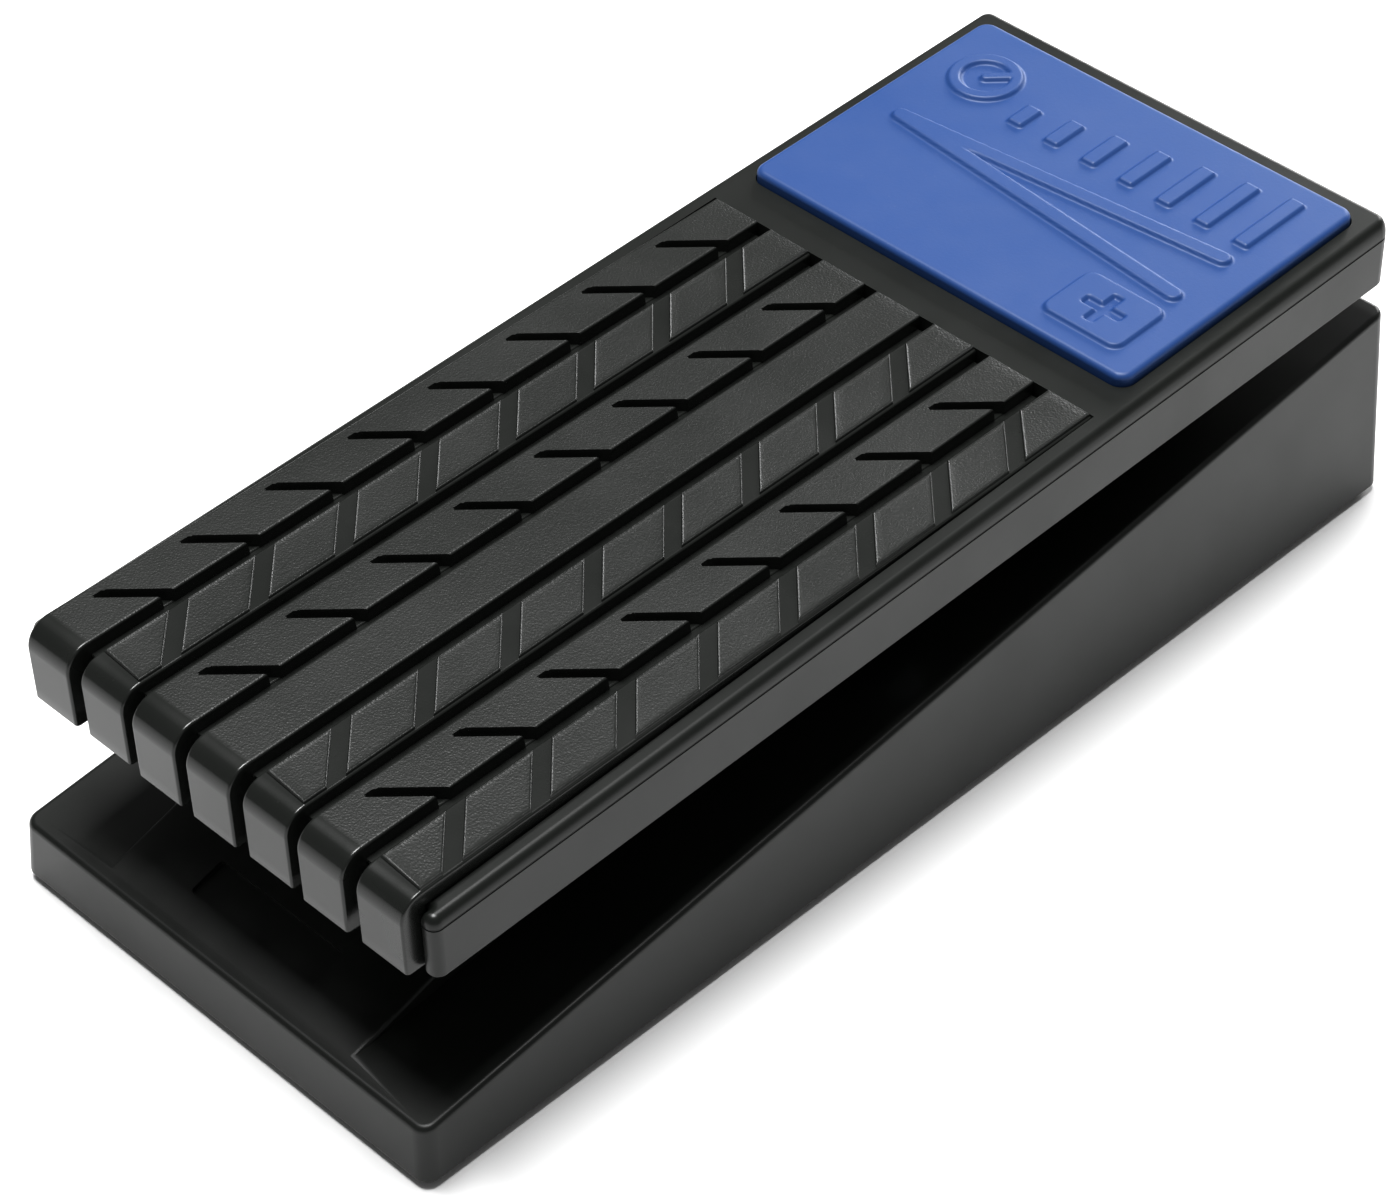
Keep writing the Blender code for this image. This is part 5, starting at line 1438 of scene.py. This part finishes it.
@dataclass(frozen=True)
class Badge:
    """The blue plate: a satin tablet with rounded edges and raised signs for loud and soft."""

    half_x: float = 48.0 * MM
    heel: float = 53.2 * MM
    toe: float = 123.2 * MM
    low: float = 21.6 * MM
    top: float = 26.1 * MM
    corner: float = 3.0 * MM
    edge: float = 1.3 * MM
    step: float = 0.32 * MM
    relief: float = 0.85 * MM
    relief_wall: float = 0.66 * MM
    stroke: float = 1.8 * MM
    bars: int = 7
    bar_first: tuple = (-19.5 * MM, 46.0 * MM)
    bar_pitch: float = 9.6 * MM
    bar_half: tuple = (3.4 * MM, 0.95 * MM)
    dial: tuple = (-34.0 * MM, 54.0 * MM)
    dial_radius: float = 6.4 * MM
    dial_hand: float = 3.4 * MM
    wedge_tip: tuple = (-38.0 * MM, 33.0 * MM)
    wedge_end: float = 38.5 * MM
    wedge_spread: float = 7.4 * MM
    plus: tuple = (32.0 * MM, 13.0 * MM)
    plus_half: tuple = (4.6 * MM, 1.1 * MM)
    plus_corner: float = 0.4 * MM
    plus_frame: tuple = (9.5 * MM, 7.6 * MM)
    plus_frame_corner: float = 2.4 * MM
    pocket_gap: float = 0.3 * MM
    pocket_depth: float = 0.8 * MM
    shell_top: float = 22.1 * MM

    @staticmethod
    def bar(x: Array, y: Array, centre: tuple, half: tuple, soft: float = 0.6 * MM) -> Array:
        """Signed distance to a rectangle with soft corners, below zero inside.

        Args:
            x: places across the plate.
            y: places along the plate.
            centre: the rectangle's middle.
            half: its half width and half length.
            soft: radius of its corners.

        Returns:
            The distance, below zero inside the rectangle.
        """
        apart = np.stack([np.abs(x - centre[0]) - half[0], np.abs(y - centre[1]) - half[1]]) + soft
        return np.linalg.norm(np.maximum(apart, 0), axis=0) + np.minimum(apart.max(axis=0), 0) - soft

    @staticmethod
    def line(x: Array, y: Array, start: tuple, end: tuple, half: float) -> Array:
        """Signed distance to a straight stroke with round ends.

        Args:
            x: places across the plate.
            y: places along the plate.
            start: the stroke's first end.
            end: its other end.
            half: half its width.

        Returns:
            The distance, below zero inside the stroke.
        """
        run = np.subtract(end, start)
        share = ((x - start[0]) * run[0] + (y - start[1]) * run[1]) / (run @ run)
        share = np.clip(share, 0, 1)
        return np.hypot(x - start[0] - share * run[0], y - start[1] - share * run[1]) - half

    def marks(self, x: Array, y: Array) -> Array:
        """Signed distance to all the raised signs.

        They are rising level bars with a dial at the toe, an opening wedge for growing loudness across the
        middle, and a framed plus at the heel's right.

        Args:
            x: places across the plate.
            y: places along the plate, from its heel edge.

        Returns:
            The distance, below zero on a sign.
        """
        stroke = self.stroke
        found = []
        for number in range(self.bars):
            tall = self.bar_half[0] + number * self.bar_half[1]
            centre = (self.bar_first[0] + number * self.bar_pitch, self.bar_first[1] + tall)
            found.append(self.bar(x, y, centre, (stroke, tall)))
        dial = self.dial
        ring = np.abs(np.hypot(x - dial[0], y - dial[1]) - self.dial_radius) - 0.75 * stroke
        tip = (dial[0] + self.dial_hand, dial[1] + self.dial_hand)
        found += [ring, self.line(x, y, dial, tip, 0.6 * stroke)]
        for way in (-1, 1):
            end = (self.wedge_end, self.wedge_tip[1] + way * self.wedge_spread)
            found.append(self.line(x, y, self.wedge_tip, end, stroke))
        frame = self.bar(x, y, self.plus, self.plus_frame, self.plus_frame_corner)
        inner = np.minimum(self.bar(x, y, self.plus, self.plus_half, self.plus_corner),
                           self.bar(x, y, self.plus, self.plus_half[::-1], self.plus_corner))
        found.append(np.maximum(frame, -inner))
        return np.minimum.reduce(found)

    def outer_distance(self, x: Array, y: Array) -> Array:
        """Distance inwards from the plate's rounded outline."""
        middle = (self.toe - self.heel) / 2
        return -self.bar(x, y, (0, middle), (self.half_x, middle), self.corner)

    def build(self) -> None:
        """Build the plate as a fine grid with a skirt and a flat underside, and dress it.

        The grid's columns narrow inside the rounded corners so that its border follows the outline, and its
        heights are the top less the rounded edge's drop plus the eased signs.
        """
        length = self.toe - self.heel
        near = self.corner * (1 - np.cos(np.linspace(0, math.pi / 2, 10)))
        rows = clustered(0, length, self.step, near, length - near)
        columns = clustered(-self.half_x, self.half_x, self.step,
                            near - self.half_x, self.half_x - near)
        y, across = np.meshgrid(rows, columns, indexing="ij")
        narrow = quarter_drop(np.minimum(y, length - y), self.corner)
        x = across * (1 - narrow / self.half_x)
        sign = smooth_step(0.5 - self.marks(x, y) / self.relief_wall)
        drop = quarter_drop(np.maximum(self.outer_distance(x, y), 0), self.edge)
        top = self.top - drop + self.relief * sign
        points = np.stack([x, y + self.heel, top], -1)
        plate = Surface(TREADLE_FRAME)
        plate.grid(points, grain=1.0)
        border = np.concatenate([points[0, :-1], points[:-1, -1], points[-1, :0:-1], points[:0:-1, 0]])
        foot = border.copy()
        foot[:, 2] = self.low
        base = plate.grid(np.stack([foot, border]), True)
        plate.faces.append(list(range(base + len(border) - 1, base - 1, -1)))
        piece = plate.build("badge_tablet", 60)
        dress(piece, BADGE_BLUE, "treadle", "badge_plate")

    def pocket(self) -> Surface:
        """The block that sinks the plate into the shell's top, with the gap round it.

        Returns:
            The surface.
        """
        body = Surface(TREADLE_FRAME)
        gap = self.pocket_gap
        outline = rectangle(self.half_x + gap, self.heel - gap, self.toe + gap, self.corner + gap)
        floor = self.shell_top - self.pocket_depth
        body.block(outline, np.array([(0, floor), (0, self.top)]))
        return body


@dataclass(frozen=True)
class Knob:
    """The fluted trim knob with its sunk pointer line."""

    flutes: int = 18
    flute_depth: float = 0.35 * MM
    edge: float = 0.8 * MM
    pointer_half: float = 0.45 * MM
    pointer_depth: float = 0.5 * MM
    pointer_start: float = 0.8 * MM
    foot_edge: float = 0.4 * MM
    taper: float = 0.06

    def build(self) -> None:
        """Carry a rounded profile round the axis, its radius waving with the flutes, and dress it."""
        low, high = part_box("trim_knob")
        middle = middle_of("trim_knob")
        radius = (high.x - low.x) / 2
        half = (high.y - low.y) / 2
        turn = np.linspace(0, 2 * math.pi, 8 * self.flutes, endpoint=False)
        wave = self.flute_depth * (0.5 - 0.5 * np.cos(self.flutes * turn))
        profile = block_profile(-half, half, self.foot_edge, self.edge)
        reach = radius - profile[:, :1] - wave * smooth_step(3 - profile[:, :1] / self.edge * 2)
        cone = 1 - self.taper * (profile[:, 1:] + half) / (2 * half)
        ring = np.stack([reach * cone * np.cos(turn), reach * cone * np.sin(turn),
                         np.repeat(profile[:, 1:], len(turn), 1)], -1)
        body = Surface(WORLD_FRAME)
        body.loft(along(ring, "Y") + np.array(middle))
        knob = body.build("trim_knob_cap")
        groove = Surface(WORLD_FRAME)
        groove.box((middle.x - self.pointer_half, high.y - self.pointer_depth, middle.z + self.pointer_start),
                   (middle.x + self.pointer_half, high.y + MM, high.z + MM))
        carve(knob, groove, Carving.CUT)
        shade(knob.data, 40)
        dress(knob, TRIM_GREY, "knob", "trim_knob")


@dataclass(frozen=True)
class PanelFittings:
    """The jacks with their threaded sleeves, and the hexagon nuts with turned-off corners that hold them."""

    chamfer: float = 0.45 * MM
    thread: float = 0.16 * MM
    thread_pitch: float = 0.75 * MM
    thread_radius: float = 4.7 * MM
    jack_bore: float = 5.0 * MM
    trim_bore: float = 3.8 * MM
    socket: float = 3.25 * MM
    socket_depth: float = 18.0 * MM
    mouth: tuple = (3.6 * MM, 4.3 * MM)
    mouth_depth: float = 0.4 * MM
    body_length: float = 22.4 * MM
    turned_off: tuple = (0.9 * MM, 0.35 * MM, 0.0, 0.0, 0.35 * MM, 0.9 * MM)

    def hexagon(self, node: str, name: str) -> None:
        """Build the nut in a node's box: a hexagon whose ends are cut by a cone.

        Args:
            node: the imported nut.
            name: the new piece's name.
        """
        low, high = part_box(node)
        middle = middle_of(node)
        reach = (high.x - low.x) / 2
        half = (high.y - low.y) / 2
        turn = np.linspace(0, 2 * math.pi, 72, endpoint=False)
        flat = reach * math.cos(math.pi / 6)
        side = flat / np.cos((turn + math.pi / 6) % (math.pi / 3) - math.pi / 6)
        depth = np.array([-half, -half + self.chamfer / 2, -half + self.chamfer, half - self.chamfer,
                          half - self.chamfer / 2, half])[:, None]
        cone = reach - np.array(self.turned_off)[:, None]
        outer = np.minimum(side, cone)
        bore = np.full((1, len(turn)), self.trim_bore if node.startswith("trim") else self.jack_bore)
        radius = np.concatenate([bore, outer, bore, bore])
        depth = np.concatenate([[[-half]], depth, [[half]], [[-half]]])
        ring = np.stack([radius * np.sin(turn), radius * np.cos(turn), np.repeat(depth, len(turn), 1)], -1)
        body = Surface(WORLD_FRAME)
        body.grid(along(ring, "Y") + np.array(middle), True)
        dress(body.build(name, 25), NICKEL, "base", node)

    def jack(self, node: str) -> None:
        """Build a jack: its square body, and its sleeve with a fine thread outside and a deep bore.

        Args:
            node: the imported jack.
        """
        low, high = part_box(node)
        middle = middle_of(node)
        face = low.y + self.body_length
        jack = Surface(WORLD_FRAME)
        jack.box((low.x, low.y, low.z), (high.x, face, high.z), 1.0 * MM, 0.5 * MM)
        lines = np.arange(face - MM, high.y - 0.6 * MM, self.thread_pitch / 4)
        wave = 0.5 - 0.5 * np.cos(2 * math.pi * lines / self.thread_pitch)
        outer = self.thread_radius - self.thread * wave
        end, socket, (inner, rim) = high.y - self.socket_depth, self.socket, self.mouth
        profile = [(TINY, end), (socket, end), (socket, high.y - self.mouth_depth), (inner, high.y),
                   (rim, high.y), *zip(outer[::-1], lines[::-1]), (TINY, face - MM)]
        jack.turned([(r, y - middle.y) for r, y in profile], middle, "Y")
        dress(jack.build(node + "_body", 35), JACK_BLACK, "base", node)

    def build(self, jacks: tuple) -> None:
        """Build the jacks with their nuts, and the trimmer's nut.

        Args:
            jacks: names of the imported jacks.
        """
        for node in jacks:
            self.jack(node)
            self.hexagon(node + "_nut", node + "_hex")
        self.hexagon("trim_pot_nut", "trim_hex")


@dataclass(frozen=True)
class RubberFoot:
    """A moulded rubber foot: a low disc with a soft edge and a shallow dish in its sole."""

    edge: float = 0.6 * MM
    dish: float = 0.35 * MM
    dish_reach: float = 0.72
    sole_reach: float = 0.8

    def build(self, node: str) -> None:
        """Turn one foot in a node's box and dress it.

        Args:
            node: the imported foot.
        """
        low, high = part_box(node)
        middle = middle_of(node)
        radius = (high.x - low.x) / 2
        angle = np.linspace(0, math.pi / 2, 6)
        sole_in = np.linspace(0, self.dish_reach * radius, 6)
        dish = low.z + self.dish * (1 - smooth_step(sole_in / (self.dish_reach * radius)))
        edge = np.stack([radius - self.edge * (1 - np.sin(angle)),
                         low.z + self.edge * (1 - np.cos(angle))], 1)
        profile = [*zip(sole_in, dish), (self.sole_reach * radius, low.z), *edge.tolist(),
                   (radius, high.z), (0, high.z)]
        foot = Surface(WORLD_FRAME)
        foot.turned([(r, z) for r, z in profile], (middle.x, middle.y, 0))
        dress(foot.build(node + "_pad"), RUBBER, "base", node)


@dataclass(frozen=True)
class CrossScrew:
    """A pan-head screw with a cross recess, seen from below the base."""

    recess_half: float = 0.42 * MM
    recess_reach: float = 1.5 * MM
    recess_depth: float = 0.7 * MM
    shank: float = 1.25 * MM
    head_height: float = 1.0 * MM
    recess_wall: float = 0.25 * MM
    dome: float = 0.55

    def build(self, node: str) -> None:
        """Build the head as a polar grid, domed and sunk by the cross, over a plain shank, and dress it.

        Args:
            node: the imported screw.
        """
        low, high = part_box(node)
        middle = middle_of(node)
        reach = (high.x - low.x) / 2
        turn = np.linspace(0, 2 * math.pi, 72, endpoint=False)
        share = np.concatenate([np.linspace(0, 0.62, 16), np.linspace(0.68, 1, 8)])[:, None]
        radius = np.maximum(share * reach, TINY)
        x, y = radius * np.cos(turn), radius * np.sin(turn)
        dome = self.head_height * (1 - self.dome * share ** 3)
        slot = np.maximum(np.minimum(np.abs(x), np.abs(y)) - self.recess_half, 0)
        ends = np.maximum(np.maximum(np.abs(x), np.abs(y)) - self.recess_reach, 0)
        sunk = smooth_step(1 - (slot + ends) / self.recess_wall)
        head = low.z + self.head_height
        z = head - dome + self.recess_depth * sunk
        top = np.stack([x, y, z], -1)
        rim = np.stack([x[-1], y[-1], np.full_like(turn, head)], -1)
        waist = rim * [self.shank / reach, self.shank / reach, 1]
        tip = waist * [1, 1, 0] + [0, 0, high.z]
        screw = Surface(WORLD_FRAME)
        screw.loft(np.concatenate([top, [rim, waist, tip]]) + np.array([middle.x, middle.y, 0]))
        dress(screw.build(node + "_cross", 40), SCREW_STEEL, "base", node)


def dress_packed_nodes(replaced: set) -> None:
    """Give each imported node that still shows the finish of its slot.

    Args:
        replaced: names of the nodes that a new piece stands for.
    """
    slots = {part["node"]: part["material_slot"] for part in frame["record"]["subparts"]}
    for name, node in frame["nodes"].items():
        material = MATERIALS[slots[name]]
        node.data.materials.clear()
        node.data.materials.append(material)
        if name not in replaced:
            LOG.info("%s keeps its packed mesh, with %s", name, material.name)


@dataclass(frozen=True)
class Softbox:
    """A rectangular soft light that faces the pedal.

    Attributes:
        name: its name.
        place: its middle.
        size: its width and height.
        power: its power in watts.
    """

    name: str
    place: tuple
    size: tuple
    power: float

    def hang(self) -> None:
        """Make the light and turn it to the pedal."""
        data = bpy.data.lights.new(self.name, "AREA")
        data.shape = "RECTANGLE"
        data.size, data.size_y = self.size
        data.energy = self.power
        lamp = bpy.data.objects.new(self.name, data)
        lamp.location = self.place
        lamp.rotation_euler = (-Vector(self.place)).to_track_quat("-Z", "Y").to_euler()
        bpy.context.scene.collection.objects.link(lamp)


@dataclass(frozen=True)
class Studio:
    """A pale seamless floor, a soft white surround, large soft lights and the camera."""

    floor_half: float = 6.0
    camera_place: tuple = (0.4043, -0.4289, 0.5353)
    camera_target: tuple = (-0.00343, -0.01469, 0.0215)
    camera_roll: float = math.radians(0.08)
    camera_shift: float = 0.0023
    lens: float = 104.76
    surround: float = 0.24
    contrast: float = 0.82
    lights: tuple = (Softbox("top_softbox", (-0.25, 0.0, 1.9), (0.9, 0.9), 64.0),
                     Softbox("back_softbox", (-0.4, 1.55, 0.6), (1.0, 0.45), 20.0))

    def floor(self) -> None:
        """Lay the floor at the height that the feet stand on."""
        surface = Surface(WORLD_FRAME)
        half, low = self.floor_half, CAD_BOX[0].z
        x, y = np.meshgrid([-half, half], [-half, half])
        corners = np.stack([x, y, np.full_like(x, low)], -1)
        surface.grid(corners)
        floor = surface.build("studio_floor")
        if floor.data.polygons[0].normal.z < 0:
            floor.data.flip_normals()
        floor.data.materials.append(FLOOR_WHITE.material())

    def camera(self) -> None:
        """Set the camera, aimed at its target and turned a little about its own axis."""
        data = bpy.data.cameras.new("camera")
        data.lens = self.lens
        data.sensor_width = 36.0
        data.shift_x = self.camera_shift
        data.clip_end = 50.0
        camera = bpy.data.objects.new("camera", data)
        place = Vector(self.camera_place)
        aim = (Vector(self.camera_target) - place).to_track_quat("-Z", "Y").to_matrix().to_4x4()
        camera.matrix_world = Matrix.Translation(place) @ aim @ Matrix.Rotation(self.camera_roll, 4, "Z")
        bpy.context.scene.collection.objects.link(camera)
        bpy.context.scene.camera = camera

    def build(self) -> None:
        """Build the whole studio."""
        self.floor()
        for softbox in self.lights:
            softbox.hang()
        world = bpy.data.worlds.new("surround")
        world.use_nodes = True
        background = world.node_tree.nodes["Background"]
        background.inputs["Color"].default_value = (1, 1, 1, 1)
        background.inputs["Strength"].default_value = self.surround
        bpy.context.scene.world = world
        view = bpy.context.scene.view_settings
        view.view_transform = "Standard"
        view.gamma = self.contrast
        self.camera()


def main() -> None:
    """Build the pedal's pieces in order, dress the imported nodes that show, and set the studio."""
    logging.basicConfig(level=logging.INFO, format="%(message)s")
    case = Case()
    badge = Badge()
    case.build()
    TreadleShell().build(badge.pocket())
    TreadMat().build()
    badge.build()
    Knob().build()
    PanelFittings().build(case.jack_nodes)
    for node in sorted(frame["nodes"]):
        if node.startswith("foot_"):
            RubberFoot().build(node)
        if node.startswith("plate_screw_"):
            CrossScrew().build(node)
    replaced = {name for name, node in frame["nodes"].items() if node.hide_render}
    dress_packed_nodes(replaced)
    Studio().build()


if __name__ == "__main__":
    main()
